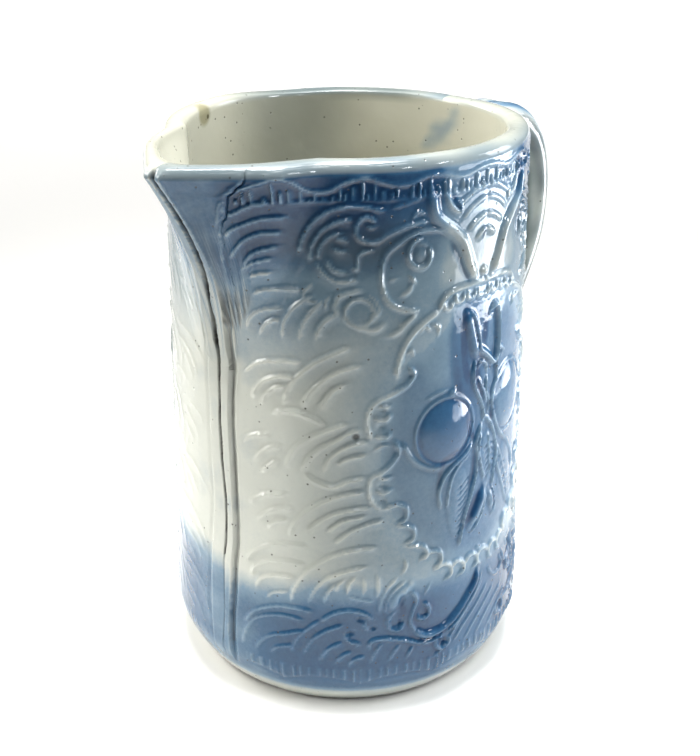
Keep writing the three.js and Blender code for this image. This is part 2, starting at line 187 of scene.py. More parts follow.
# The strip down the front where the moulds met: at each height its two edges, and the middle, half-width and
# depth of the rough groove in it. The groove's middle is plus towards the side that shows.
strap = {
    "rise": 0.9,
    "at": [14, 22.7, 27.5, 37, 46, 59.4, 68.7, 77.5, 86, 94, 102, 110, 118, 126, 133, 141, 145, 149, 153,
           157, 161, 165, 171, 177, 185, 193, 200, 208, 216],
    "farEdge": [7.0, 7.3, 7.5, 8.1, 7.8, 7.1, 5.9, 5.1, 5.0, 5.2, 5.7, 5.9, 5.9, 6.0, 6.5, 6.5, 6.3, 6.2,
                6.2, 6.0, 5.4, 4.7, 4.1, 3.2, 3.2, 3.1, 2.9, 2.8, 2.8],
    "nearEdge": [2.9, 2.7, 2.4, 2.6, 3.4, 4.2, 5.2, 5.4, 5.1, 4.7, 4.4, 4.1, 3.8, 3.9, 4.3, 4.8, 4.4, 4.1,
                 4.4, 4.9, 5.6, 6.0, 6.4, 6.6, 6.6, 5.9, 5.2, 4.5, 5.2],
    "groove": [-1.2, -1.0, -0.6, 0.1, 0.0, 0.1, 1.4, 1.9, 1.8, 1.0, 0.1, -0.1, -0.5, -0.3, -0.45, -0.25,
               -0.3, -0.8, -0.6, -0.2, -0.2, 0.1, 0.9, 1.8, 2.4, 2.5, 2.0, 1.3, 0.9],
    "grooveHalf": [0.3, 0.35, 0.25, 0.25, 0.25, 0.3, 0.5, 0.35, 0.45, 0.4, 0.5, 0.55, 0.5, 0.45, 0.45, 0.6,
                   0.7, 1.0, 0.9, 1.0, 0.65, 0.55, 1.05, 1.2, 1.15, 1.2, 1.2, 1.05, 0.9],
    "grooveDepth": [0.3, 0.4, 0.3, 0.2, 0.2, 0.3, 0.8, 0.5, 0.9, 0.9, 1.0, 1.0, 1.0, 1.0, 1.0, 1.2, 1.3,
                    1.5, 1.5, 1.5, 1.3, 1.3, 1.6, 1.8, 1.8, 1.8, 1.8, 1.7, 1.6],
    "valley": 2.1,
    "valleyDepth": 0.75,
    "farValleyDepth": 0.1875,
    "backHalfWidth": 6.4,
    "backRise": 0.63,
    "backGroove": 0.7,
}
keelFoot = float(wallRadius(ledge)) + strap["rise"]


def spoutShare(z):
    return np.clip((z - ledge) / spoutRun, 0, 1) ** spout["shareCurve"]


def keelRadius(z):
    up = np.clip((z - ledge) / spoutRun, 0, 1)
    return lerp(keelFoot, spout["tip"], up ** spout["keelCurve"])


def strapEdge(z, side):
    return np.interp(z, strap["at"], strap["nearEdge" if side > 0 else "farEdge"])


# Where the halves meet: the middle of the groove, as an angle on one side's own measure.
def seamAngle(z, side):
    radius = float(keelRadius(z)) if z > ledge else float(wallRadius(z))
    return math.degrees(side * float(np.interp(z, strap["at"], strap["groove"])) / radius)


# Outer radius of the plain form at one height, for an array of angles away from the spout. Each flank of the
# spout is a swelling line from the round wall to the keel.
def outsideRow(z, angles, side):
    plain = float(wallRadius(z))
    if z <= ledge:
        return np.full(len(angles), plain)
    share = float(spoutShare(z))
    angle = math.radians(spout["flankFrom"] + spout["flankOpens"] * share ** spout["flankCurve"])
    start = np.array([math.cos(angle), math.sin(angle)]) * plain
    end = np.array([float(keelRadius(z)) - strap["rise"], float(strapEdge(z, side))])
    run = end - start
    outward = np.array([-run[1], run[0]]) / np.linalg.norm(run)
    outward *= np.sign(outward[0])
    place = np.linspace(0, 1, 61)
    swell = np.interp(place, spout["swellAt"], spout["swell"])
    swell = np.convolve(np.pad(swell, 5, mode="edge"), np.ones(11) / 11, mode="valid")
    flank = start + run * place[:, None] + outward * (swell * share)[:, None]
    keel = np.array([[end[0], end[1] * 0.5], [end[0], 0.0], [end[0], -4.0]])
    outline = np.vstack([flank, keel])[::-1]
    turn = np.degrees(np.arctan2(outline[:, 1], outline[:, 0]))
    radius = np.interp(angles, turn, np.hypot(outline[:, 0], outline[:, 1]), right=0.0)
    radius = lerp(plain, radius, smoothStep((z - ledge) / spout["blendHeight"]))
    return smoothMax(np.full(len(angles), plain), radius, 0.04 + 1.2 * min(1.0, share * 6))


# Inner radius at one height: the round hollow and the V channel that runs out of it into the spout.
def insideRow(z, angles, side):
    floor = body["floor"]
    fillet = body["filletHeight"]
    inner = float(wallRadius(max(z, body["footRise"]))) - body["wall"]
    if z < floor + fillet:
        down = (floor + fillet - max(z, floor)) / fillet
        inner -= (inner - body["slabRadius"] - 0.1) * (1 - math.sqrt(max(0.0, 1 - down * down)))
    if z <= height - pocket["depth"]:
        return np.full(len(angles), inner)
    deep = (z - height + pocket["depth"]) / pocket["depth"]
    underKeel = float(keelRadius(z)) - 6.6 * lerp(2.7, 1.6, math.sqrt(deep))
    apex = max(inner - 3 + 14 * deep, underKeel)
    widest = pocket["nearAngle" if side > 0 else "farAngle"]
    mouth = lerp(pocket["bottomAngle"], widest, deep ** pocket["opening"])
    channel = inner + (apex - inner) * np.interp(angles / mouth, pocket["runAt"], pocket["run"])
    return smoothMax(np.full(len(angles), inner), channel, 0.5)


# The ragged line where the spout's clay laps over the body, as an angle at each height.
def luteAngle(z):
    line = np.interp(z, spout["luteAt"], spout["luteAngle"])
    return line + (0.35 * ragged(z * 0.6, 1.3) + 0.22 * ragged(z * 1.9, 0.4)) * smoothStep((z - 150) / 20)


# Relief. Every stroke is [stops, half-width, rise] with stops as (angle, height), drawn on the side
# that shows. The pattern round the medallion is the same on both sides of its middle.
foldAngle = 86.3
degreeWidth = 1.21

waves = [
    [(8.5, 198), (11.5, 199.6), (14, 200.8), (16.9, 203.1), (19.9, 204.2), (22.5, 204.6)],
    [(10.2, 191.6), (12.5, 194.6), (15.1, 196.4), (18.1, 198.1), (21.1, 199), (25.5, 199)],
    [(10.6, 184), (14, 189.9), (16.3, 192.1), (19.3, 193.5), (24, 193.6)],
    [(13.2, 181), (15.7, 185.3), (18.1, 187.1), (22.8, 188.6)],
    [(12.6, 179.5), (15.7, 182.4), (18, 183.4), (21, 184.2)],
    [(14, 176.8), (16.5, 178.3), (20.5, 179)],
    [(27.5, 186), (29.3, 192.5), (33.1, 198.4), (39, 201.7), (45, 202.1), (52, 200.3)],
    [(30.5, 183), (31.3, 189), (34.8, 194.6), (39.1, 197.3), (43, 198)],
    [(32.6, 184), (34, 189.4), (37, 192.6), (40.5, 193.2)],
    [(32.3, 183.4), (34.8, 179), (39, 176.4), (44.4, 177.2)],
    [(35.2, 184.5), (37.2, 180.6), (41, 179.6)],
    [(37.8, 191), (39.5, 191.5), (41.5, 190.3)],
    [(37, 188.5), (38.6, 187.2), (41, 187)],
    [(22.3, 155.5), (22.9, 161), (25.3, 166), (28.5, 169.4), (31.5, 171)],
    [(27.4, 155.5), (28.5, 160.3), (30.9, 165.3), (34.4, 169.8)],
    [(32.3, 156), (33.6, 160.3), (36, 163.5), (38.5, 165)],
    [(11.2, 157), (12.6, 161), (14.5, 163.4), (17.5, 165.1), (22.5, 165.8)],
    [(15.1, 155.5), (17, 159.2), (19.5, 161.2), (22, 161.8)],
    [(14.5, 170.5), (17, 172.2), (21.2, 172.9), (28, 173)],
    [(22.6, 130.5), (23.5, 135.7), (26.2, 140.7), (30.4, 145.7), (35.7, 149.6), (41.9, 153.2)],
    [(28.2, 130.5), (29.8, 134.5), (33.3, 139.4), (38.1, 143.7), (45.2, 146.4)],
    [(33.9, 130), (35.1, 133.7), (37.5, 137.2), (40.5, 139.3)],
    [(9.6, 139.6), (12.7, 143.2), (16.9, 145.4), (22.9, 146.5), (27.8, 146.8)],
    [(12, 131), (13.9, 135.2), (16.9, 138.6), (21.1, 140.4), (26, 140.7)],
    [(15, 129.2), (16.9, 132.9), (19.9, 136.3), (23, 137.2)],
    [(19, 126.5), (22.9, 128), (27, 127.9), (30.6, 126.4), (34.4, 124.2)],
    [(23, 106), (24.4, 110.7), (26.8, 115), (31.5, 119.4), (35.7, 122), (41.3, 124.5)],
    [(28, 105), (29.8, 110), (33.3, 114.5), (38.1, 118.1), (41.7, 121), (45.2, 122.3)],
    [(34.5, 105.6), (35.7, 110), (38.7, 113.7), (42.9, 116.5), (47.2, 117.2)],
    [(38, 108.4), (41.7, 110.8), (47, 112.2)],
    [(28.5, 104.5), (30.5, 102.4), (33.3, 100.7), (37.5, 99.6), (41.1, 101.8), (46.6, 103.3)],
    [(8.8, 112.6), (11, 115.2), (14.4, 117), (18, 118)],
    [(12.4, 105.8), (15.1, 110), (18.1, 112.6), (21.5, 113.6)],
    [(15, 102.6), (18.1, 105.8), (20.2, 108)],
    [(24, 78.6), (25.3, 83), (28.1, 87.6), (32.2, 91.8), (35.7, 94.4), (40, 96.4), (46, 97.6)],
    [(29.3, 80.6), (32.9, 85.2), (37.1, 88.5), (42.6, 90.4), (48, 91)],
    [(35.4, 81.2), (39.9, 85.8), (46.8, 87.6)],
    [(37.6, 76.8), (42.6, 81.8), (47.5, 84.4), (52, 85.6)],
    [(10.5, 88.5), (14, 92), (18, 94), (23, 95)],
    [(13.5, 82), (16.5, 86), (20, 88.3), (25, 89.6)],
    [(16.8, 79.5), (19.5, 83), (23, 84.6)],
    [(24.1, 50.5), (24.9, 55), (26.7, 60), (30.1, 65.5), (33.6, 69), (38.5, 72.2), (44, 74), (50, 74.6)],
    [(29.7, 51.2), (31.5, 56.4), (34.3, 60.9), (39.2, 64.4), (46.8, 66.8)],
    [(34.5, 52), (35.8, 56.5), (38, 60)],
    [(9, 62.5), (11.2, 67.2), (16.3, 72.2), (22.5, 74.3), (29, 74.6)],
    [(10.6, 57.5), (12.3, 62), (15.6, 65.2), (21.8, 66.9), (28.4, 66.9)],
    [(12.2, 53.5), (14.2, 57.6), (18.3, 60.1), (25, 60.9)],
    [(16, 49.6), (18.3, 52.5), (23.3, 54.3)],
    [(8, 36), (12, 42.5), (19, 46.8), (24.6, 47.6), (31, 46.8)],
    [(7.1, 25.5), (8.3, 31.8), (11.4, 38.3), (16.3, 41.9), (22.5, 43.4), (28, 42.6)],
    [(12, 25.6), (13.8, 29.3), (17.6, 33.4), (22.5, 35.5), (27.6, 38)],
    [(17.2, 25.6), (19, 28.4), (23, 30.2), (25.6, 31.4)],
    [(23.8, 28), (26, 34.2), (29.4, 39.3), (33, 43.4)],
    [(28, 28), (30.5, 34.2), (34.3, 38.5), (40, 41.8)],
    [(32.8, 25.6), (35.7, 31), (40, 34.4)],
    [(37.8, 25), (40, 28.4), (43, 30.2)],
    [(42, 23.4), (42.6, 25.8), (44.7, 27.4), (47, 27.6)],
    [(74.6, 198.8), (78.2, 201.4), (82.6, 203.6), (86.3, 203.9)],
    [(76.6, 194.4), (80.4, 197.8), (84.1, 199.6), (86.3, 199.9)],
    [(78.7, 190), (82.6, 192.9), (86.3, 194.3)],
    [(81.9, 186.2), (84.9, 188.5), (86.3, 189)],
]
scrolls = [
    [[(65.8, 206), (66.2, 200.5), (67.4, 196.4), (70, 193.6), (73.6, 190.4), (76.6, 186.6), (78.6, 181.5),
      (80.2, 176.5), (82.8, 171.6)], 3.0, 1.9],
    [[(70.2, 204), (71.4, 201), (73, 198.4), (75.4, 197.2), (75.3, 199.6), (73.8, 200.4)], 1.3, 1.2],
    [[(73.5, 188.9), (70, 191.6), (66.3, 192.6), (62.6, 192.6), (58.9, 191.3), (55.9, 189.2),
      (52.9, 186.6), (51.4, 183), (50.9, 178.6), (51.3, 174), (52.3, 170.4), (54.4, 167.4), (57.4, 165.6),
      (60, 164.8), (62, 164.8)], 1.4, 1.15],
    [[(62.8, 190), (60.4, 189.3), (59, 187), (58.7, 184.4), (59.7, 181.6), (62, 179.9), (64.2, 180.3),
      (65.5, 182.7), (65.2, 186.3)], 1.35, 1.3],
    [[(61.1, 187.5), (63, 188.2), (65, 187)], 1.0, 0.6],
    [[(59, 177.9), (61.2, 174.6)], 1.2, 1.1],
    [[(52.7, 176.3), (55.9, 176.9)], 1.0, 0.6],
    [[(56.5, 170.5), (59, 172), (60.4, 175)], 1.6, 0.7],
    [[(48.5, 187.4), (46, 187), (44.4, 185.6), (44.2, 183), (43.8, 180.9), (42.4, 181.4)], 1.0, 1.0],
    [[(31.2, 175.2), (29, 172.6), (28.8, 170.4), (31, 169.2), (33.8, 169)], 1.1, 0.9],
    [[(36.6, 172), (35.2, 169.4), (35.2, 166.3)], 1.1, 0.8],
    [[(49.2, 196.4), (47.6, 198.4), (45.6, 198.4), (44.2, 196.4), (43.7, 194.1), (44.6, 191.6),
      (46.7, 190.3), (49.5, 190.3), (52.9, 192.6), (56.6, 194.2), (60, 195.2), (64.5, 195.6)], 1.3, 1.0],
    [[(46.3, 196.2), (47.8, 195), (49.5, 195.4)], 0.9, 0.7],
    [[(59.6, 196.8), (60.8, 198.6), (62.2, 199.1), (63.8, 197.8)], 1.0, 0.8],
    [[(53.7, 201.2), (57.4, 202.2), (62.6, 203.6)], 0.9, 0.5],
    [[(45.3, 173.5), (41.9, 172.7), (39, 171.2), (37.9, 168.6), (38.7, 163.6)], 1.6, 1.0],
    [[(46.8, 171.8), (49.2, 169.8), (50.2, 166.5), (49, 162.8)], 1.0, 0.7],
    [[(43.1, 160.9), (46.1, 160), (49.1, 159.1), (52, 161.3)], 1.7, 1.0],
    [[(53, 156.5), (56, 157.8), (58.4, 160.6), (61.9, 164.1)], 1.6, 1.0],
    [[(56.2, 162), (56.8, 158.5)], 0.9, 0.8],
]
frameStrokes = [
    [[(87, 170.1), (81.1, 170.1), (75.9, 169.7), (72.2, 168.6), (69.8, 166), (69.2, 163.2)], 1.4, 1.2],
    [[(69.2, 163.4), (66.6, 161.8), (63.6, 159.6), (60.7, 156.7), (58.3, 152.8), (56.8, 148.4),
      (55.9, 143.6), (56, 141)], 1.6, 1.3],
    [[(59.4, 144.2), (61.1, 141.6), (59.4, 138.1), (56.8, 136.2), (54.4, 134.9), (50.2, 132.7),
      (47.9, 129.9), (47, 126.3), (47.4, 122), (48.4, 118)], 1.35, 1.25],
    [[(50.2, 132), (52, 130.2), (54, 130.4)], 1.1, 1.1],
    [[(49.2, 126.6), (51, 125.4), (53, 125.6), (54, 127.4)], 1.1, 1.1],
    [[(48.8, 119.6), (51, 118.6), (53.2, 118.8), (53.8, 120.2)], 1.1, 1.1],
    [[(49, 113.6), (52, 115.6), (54.6, 114.6)], 0.9, 0.5],
    [[(55.5, 116.4), (56.8, 112.8), (54.8, 108.4), (51.7, 104.8), (48.6, 103.2), (47.7, 99.9),
      (47.9, 96.3), (49.4, 92.2), (51.6, 90)], 1.35, 1.3],
    [[(50, 104), (52, 102.4), (54.4, 102.6)], 1.1, 1.1],
    [[(50, 98), (52, 96.6), (54.8, 97.8)], 1.1, 1.1],
    [[(52.4, 90.2), (56.5, 91.2), (59.4, 89), (58.8, 84.6), (56.4, 83.4)], 1.25, 1.25],
    [[(56.4, 82.4), (59.6, 81.8), (61.9, 79.6), (61.4, 75.8), (58.8, 74.4)], 1.25, 1.25],
    [[(58.8, 73.8), (62, 73), (65.4, 71.4), (66.3, 67.8), (64, 66.4)], 1.25, 1.25],
    [[(64.4, 67.6), (67.6, 68.8), (71.2, 67.2), (71.2, 63.4), (68.8, 61.4)], 1.25, 1.25],
    [[(69, 60.6), (72, 61.9), (74.9, 60.2), (75.2, 56.8), (72.8, 54.8)], 1.25, 1.25],
    [[(74.6, 59), (77.6, 61), (80, 59.4), (80.2, 56), (78, 54.2)], 1.25, 1.25],
    [[(80, 58), (83, 61), (85.8, 60), (86.2, 56.6), (84.2, 54.4)], 1.25, 1.25],
    [[(71, 166.6), (70.8, 164), (72.8, 163.2), (74.2, 165.6)], 1.1, 1.0],
    [[(75, 168.2), (75, 165.4), (77.4, 165), (78.4, 167.8)], 1.1, 1.0],
    [[(79.6, 168.6), (79.6, 165.4), (82, 165.1), (82.9, 167.9)], 1.1, 1.0],
    [[(84, 168.2), (84, 165.2), (86.5, 165)], 1.1, 1.0],
    [[(62.6, 156.4), (64.4, 158.2), (66.4, 156.4)], 1.0, 0.9],
    [[(66.8, 158.6), (68.8, 157.6), (69, 154.4)], 1.0, 0.9],
    [[(58.6, 149), (60.2, 150.4), (61, 148.2)], 1.0, 0.7],
]
lowerScrolls = [
    [[(48.6, 30.6), (48, 33), (49.3, 34.7), (51.8, 35.1), (55.6, 34.3), (60.1, 32.6), (64.6, 30.2),
      (68.5, 29.6), (73, 30.8)], 1.2, 1.0],
    [[(61, 54), (62.6, 51.6), (63, 49.2), (62.2, 46.2), (61.3, 43.1), (61.2, 39.4), (63, 35.9)], 1.2,
      1.15],
    [[(65.2, 47.4), (67, 45.7), (67.5, 43), (66.2, 40.9), (64, 41.1), (63.4, 43)], 1.2, 1.15],
    [[(54, 46), (55.8, 50.8), (58.4, 54.6), (61, 57)], 3.2, 1.4],
    [[(53.2, 46), (53.3, 50), (55.6, 55.4), (59.2, 58.6)], 1.1, 0.9],
    [[(51.2, 46.5), (51.6, 51), (53.4, 56.5), (56.6, 61)], 1.2, 0.8],
    [[(56.4, 46.4), (54.7, 44.8), (53.7, 41.6), (54.8, 39), (57.4, 38.2), (58.8, 40.6)], 1.2, 1.15],
    [[(33.3, 43), (34.8, 44.7), (37.1, 46.7), (40.3, 47.9), (43.5, 47.9), (46.8, 46.4), (49.5, 43.6)],
      1.25, 1.0],
    [[(46.9, 43.4), (46.7, 41), (47.8, 39.2)], 1.0, 1.0],
    [[(40.4, 38.9), (41.2, 35.9), (42.9, 34.2), (45.4, 34)], 1.0, 1.0],
    [[(43.6, 31.6), (44.6, 33.2), (46.2, 32.2)], 0.9, 0.6],
    [[(52.1, 33.4), (49.9, 29.2), (48.3, 24.8)], 1.1, 0.8],
    [[(57.6, 31.5), (55.6, 28.1), (54, 24.8)], 1.1, 0.8],
    [[(62, 29.4), (60.6, 27), (59.6, 24.6)], 1.1, 0.8],
    [[(70.6, 30), (69.8, 27.8), (71.2, 25.1), (73.6, 24.9), (75, 27.2), (74.2, 29.4)], 1.2, 1.15],
    [[(68.8, 21.6), (71, 23.4), (74, 24.4)], 1.0, 0.8],
    [[(38.2, 55.8), (38.4, 59), (40.4, 61.6)], 1.15, 1.0],
    [[(41.2, 55.2), (42, 60), (43.9, 62.9)], 1.25, 1.0],
    [[(50.2, 53), (50.8, 58), (50.4, 63)], 1.4, 1.0],
    [[(45.8, 54), (46.6, 58), (46.2, 62)], 1.2, 0.7],
    [[(41.6, 54.4), (45.8, 52.6), (49.6, 51.4)], 1.0, 0.6],
    [[(58.8, 68.2), (59.4, 65.4), (58.2, 62.2)], 1.2, 1.0],
    [[(67.8, 55.4), (65.6, 50.8)], 0.9, 0.6],
]
# Fruit, stems and leaves, which aren't the same on both sides of the medallion's middle.
sprays = [
    [[(62, 36.4), (66, 33.2), (71, 33.3), (75, 35.3), (79, 39), (82.5, 43.5), (85.6, 47.8), (87, 52.6)],
      2.2, 1.7],
    [[(73, 30.8), (78, 33.8), (82, 38.4), (86, 43.2), (89, 50)], 1.1, 1.0],
    [[(74.8, 27.6), (78.5, 33), (84, 39.4), (89.5, 46.5)], 0.9, 0.75],
    [[(76.8, 25.5), (80.5, 30.6), (86, 36), (92.1, 43)], 0.9, 0.75],
    [[(81.3, 23.8), (84.4, 28), (89.5, 33.6), (96.1, 40)], 0.9, 0.75],
    [[(86.4, 23.4), (90.4, 28.4), (96, 33.6), (101.2, 37.6)], 0.9, 0.75],
    [[(92.6, 23.4), (97, 28), (104.3, 33.4)], 0.9, 0.75],
    [[(92.4, 50), (95, 46), (98.4, 44.6), (101, 47.4), (99.6, 51)], 1.1, 1.0],
    [[(101.6, 52), (103.4, 47), (107, 46.4), (109, 50)], 1.1, 1.0],
    [[(58, 115.4), (60.1, 110), (63.6, 105.7), (67.8, 103.2), (71.8, 102.5)], 1.5, 0.8],
    [[(65.4, 130.8), (69, 132.2), (72.6, 132.6)], 0.9, 0.5],
    [[(79.5, 160), (80.6, 156), (81.8, 151), (83, 146), (84, 141.5)], 3.0, 1.7],
    [[(80.6, 160.2), (82.4, 157.4), (83.6, 153.2), (84.7, 148.4), (85.3, 144.6), (87.4, 142.6),
      (89.7, 139.9), (91.9, 137.5), (93.5, 139.2), (94.2, 144), (94.3, 150.6), (93.9, 156), (92.6, 159.3),
      (90.1, 157.6)], 1.7, 1.9],
    [[(94.7, 143), (96.3, 141.4), (97.8, 140.4), (97.6, 138)], 1.3, 1.1],
    [[(83.6, 141), (82.8, 135), (83.7, 130), (85.7, 125.6), (87.5, 120.6), (88.1, 115.6)], 1.2, 1.1],
    [[(85, 133), (87.4, 127.7), (89.2, 122)], 0.95, 0.9],
    [[(84.6, 137.5), (86.3, 139.4), (88.2, 138.2), (89.4, 134)], 0.95, 0.8],
    [[(89.3, 133), (88.7, 128), (90.2, 123), (90.1, 118)], 0.95, 0.8],
    [[(93.9, 138), (93.9, 129.5), (92.2, 126.3), (91.9, 122), (93.1, 115.8), (95.3, 110), (97.6, 105.8),
      (101, 102.5), (103.3, 99), (106.2, 93.6), (107.4, 87)], 1.2, 1.1],
    [[(89.2, 116.2), (91.6, 112.8), (93.7, 107.6), (94.9, 101.7), (94.6, 96.7), (93.5, 91.7), (93.1, 86)],
      1.2, 1.15],
    [[(83, 107.8), (79.9, 104.8), (75, 101.4), (71.8, 97.6), (70.2, 92.5), (70.9, 86)], 1.3, 1.0],
    [[(82, 104.2), (77.3, 100.8), (75.2, 97.3), (73.8, 91.7), (73.2, 85)], 0.9, 0.8],
    [[(87.2, 114.4), (84.8, 108.3), (85.2, 102.5), (84.8, 95.8), (83.2, 89), (80.2, 78.5), (78.9, 71),
      (78.4, 67.4)], 1.15, 1.2],
    [[(87.1, 110.8), (86.1, 105.8), (86.6, 100), (87.7, 95), (89.3, 91)], 1.1, 1.0],
    [[(90.5, 109.4), (91, 103.3), (91.4, 97.5), (91.9, 91.5)], 0.9, 0.9],
    [[(89.4, 88), (86.8, 80.8), (83, 73)], 3.4, 1.6],
    [[(90.1, 85.4), (88.3, 77.8), (86.2, 73.8), (83.2, 70.4)], 1.0, 1.2],
    [[(91.4, 85.4), (92.8, 80), (93.8, 75)], 2.7, 1.4],
    [[(93.2, 86), (94.8, 78.4), (94.9, 75.2), (93.4, 73)], 1.0, 1.2],
    [[(95.6, 101), (96, 93.3), (98.1, 87.5), (101.2, 79.2), (104.4, 72.6)], 1.2, 1.0],
    [[(96.1, 102), (99.9, 92), (103.2, 82), (104.8, 74)], 0.9, 0.8],
]
for step in range(9):  # veins of the three leaves
    low = 91.2 - 2.35 * step
    veins = [[(76.6 + 0.05 * step, low), (79.2 - 0.05 * step, low + 1.3), (82.6 - 0.42 * step, low + 3.9)]]
    if step < 6:
        high = 105.2 - 2.4 * step
        veins += [
            [(88 + 0.2 * step, high - 3.4), (90.8 + 0.12 * step, high)],
            [(91.4 + 0.12 * step, high), (94.4 - 0.1 * step, high - 2.2)],
            [(97 + 0.9 * step, 94.5 - 3.2 * step), (98.8 + step, 97.6 - 3.6 * step)],
            [(99.5 + 0.85 * step, 92.5 - 3.4 * step), (102.4 + 0.7 * step, 91.6 - 3 * step)],
        ]
    sprays += [[vein, 0.7, -0.6] for vein in veins]
# Darker strokes along recesses, with the amount in place of the rise: cobalt run thick, and painted shade
# beside the raised stems and scrolls.
darkStrokes = [
    [[(79.6, 163), (78.4, 155.7), (79, 143.9), (80.6, 133)], 2.0, 0.45],
    [[(75.4, 163), (74.4, 152), (75.4, 140), (78, 128)], 3.2, 0.16],
    [[(88.6, 160.7), (88.2, 153.3), (88.2, 145.7)], 2.3, 0.5],
    [[(79.7, 127.5), (81.1, 115), (84, 109.7)], 1.9, 0.35],
    [[(84.5, 140), (85.5, 132), (87.5, 124)], 2.2, 0.3],
    [[(77.4, 108.3), (72.3, 105.3), (70.6, 100), (69.8, 94.6)], 1.7, 0.35],
    [[(84, 104), (83.5, 97), (82, 90)], 1.8, 0.25],
    [[(88, 88.1), (84.2, 81), (80.5, 74.6)], 3.6, 0.55],
    [[(92.6, 84.4), (94.3, 76.9)], 2.4, 0.42],
    [[(92.6, 120), (91.6, 113)], 1.6, 0.3],
    [[(69, 32.6), (74.5, 35), (79.5, 39.8), (83, 44.6), (85, 48.4), (86.5, 53)], 1.7, 0.45],
    [[(72.5, 187), (75.4, 181), (77.6, 175.6), (80, 171.6)], 1.7, 0.6],
    [[(85.8, 191), (85.4, 185), (84.8, 178)], 1.3, 0.55],
    [[(72.6, 204), (74, 200.6), (76.6, 196.6)], 1.5, 0.5],
    [[(58, 50), (58.6, 46), (57.6, 42.4)], 2.0, 0.25],
]
# Rounded forms: (angle, height, half-width, half-height, rise, how square the edge is).
domes = [
    (72.6, 116.8, 11.7, 12.0, 2.3, 0.8),
    (102.6, 119.6, 11.9, 13.2, 2.3, 0.8),
    (74.6, 130.9, 1.9, 1.7, 0.9, 1.0),
    (94.2, 122.7, 2.2, 2.2, 0.9, 0.8),
    (86.9, 62.2, 1.8, 1.2, 0.8, 1.0),
    (77.5, 86, 5.4, 15.5, 0.5, 0.5),
    (90.8, 99, 5.2, 11.5, 0.5, 0.5),
    (101.6, 89, 6.6, 13, 0.5, 0.5),
]
foldedDomes = [
    (foldAngle, 173.6, 2.4, 1.9, 1.3, 0.8),
    (45.1, 44.4, 1.6, 1.2, -0.8, 1.0),
    (49.3, 40.2, 1.5, 1.2, -0.8, 1.0),
    (42.4, 38.4, 1.9, 1.2, -0.8, 1.0),
    (58, 51.4, 1.9, 3.6, -0.8, 1.0),
    (57.6, 41.2, 1.4, 1.6, -0.7, 1.0),
    (72.5, 27.8, 1.7, 1.5, -0.7, 1.0),
    (51.4, 122.8, 1.7, 1.9, -0.7, 1.0),
    (51.8, 129, 1.7, 1.2, -0.6, 1.0),
    (52, 99.6, 1.8, 1.4, -0.7, 1.0),
    (51.8, 93.6, 1.8, 1.6, -0.7, 1.0),
    (62.4, 184.4, 2.6, 3.2, 0.6, 1.0),
]
topLine = [(12, 207.6), (16, 209.2), (20, 211.2), (24.6, 212.6), (27.5, 210.6), (30, 208.1), (33, 206.9),
           (36, 207.2), (40, 209.6), (46.5, 211.4), (51, 209.9), (55.6, 208.6), (59.8, 209), (64, 210.8),
           (68.5, 210.9), (73.7, 209.2), (77.4, 208.8), (82.6, 210.3), (86.3, 210.7)]
edging = {
    "reedBottom": 203.9,
    "topPitch": 2.05,
    "toothRise": 1.0,
    "toothGround": 0.3,
    "lineRise": 0.55,
    "lineHalfWidth": 0.62,
    "panelRise": 0.22,
    "lowLineRise": 0.3,
    "bottomPitch": 2.7,
    "bottomRise": 0.75,
    "reedTopAtFoot": 22.6,
    "scallopStart": 21.5,
    "scallopWidth": 24.3,
    "scallopLow": 13.0,
    "scallopSwing": 4.2,
    "scallopDepth": 0.35,
}
# The waves stand up more in the pale zone between the blue bands: (half-width, rise).
waveForm = {
    "paleFrom": 50,
    "paleTo": 172,
    "inPale": (1.3, 1.25),
    "inBlue": (1.2, 0.85),
    "slope": 3.6,
}


def scallopHeight(angle):
    arch = np.abs(np.sin(np.pi * (angle - edging["scallopStart"]) / edging["scallopWidth"]))
    return edging["scallopLow"] + edging["scallopSwing"] * arch ** 0.75


# slope is how far the ground falls away slowly behind the stroke, on the right of its direction.
def stroke(field, angle, z, stops, halfWidth, rise, slope=0.0):
    path = curveThrough([(a * degreeWidth, h) for a, h in stops])
    low = path.min(axis=0) - max(halfWidth, slope)
    high = path.max(axis=0) + max(halfWidth, slope)
    across = angle * degreeWidth
    near = np.nonzero((across > low[0]) & (across < high[0]) & (z > low[1]) & (z < high[1]))[0]
    if len(near) == 0:
        return
    best = np.full(len(near), 1e9)
    place = np.zeros(len(near))
    lean = np.zeros(len(near))
    px = across[near]
    pz = z[near]
    length = len(path) - 1
    for i in range(length):
        dx, dz = path[i + 1] - path[i]
        along = np.clip(((px - path[i][0]) * dx + (pz - path[i][1]) * dz) / (dx * dx + dz * dz + 1e-9), 0, 1)
        away = np.hypot(px - path[i][0] - along * dx, pz - path[i][1] - along * dz)
        closer = away < best
        best[closer] = away[closer]
        place[closer] = i + along[closer]
        lean[closer] = (dx * (pz - path[i][1]) - dz * (px - path[i][0]))[closer]
    ends = np.minimum(place, length - place) * 0.9
    taper = 0.35 + 0.65 * smoothStep(ends / max(2.0, halfWidth * 1.5))
    inside = np.clip(best / (halfWidth * (0.55 + 0.45 * taper)), 0, 1)
    bump = rise * taper * (1 - inside ** 2) ** 2
    if slope > 0:
        behind = 0.5 * rise * taper * (1 - np.clip(best / slope, 0, 1)) ** 1.4
        bump = np.where(lean < 0, np.maximum(bump, behind), bump)
    field[near] = np.where(rise > 0, np.maximum(field[near], bump), field[near] + bump)


def dome(field, angle, z, middle, high, halfWidth, halfHeight, rise, square):
    away = np.hypot((angle - middle) * degreeWidth / halfWidth, (z - high) / halfHeight)
    near = away < 1
    bump = rise * (1 - away[near] ** 2) ** square
    field[near] = np.where(rise > 0, np.maximum(field[near], bump), field[near] + bump)


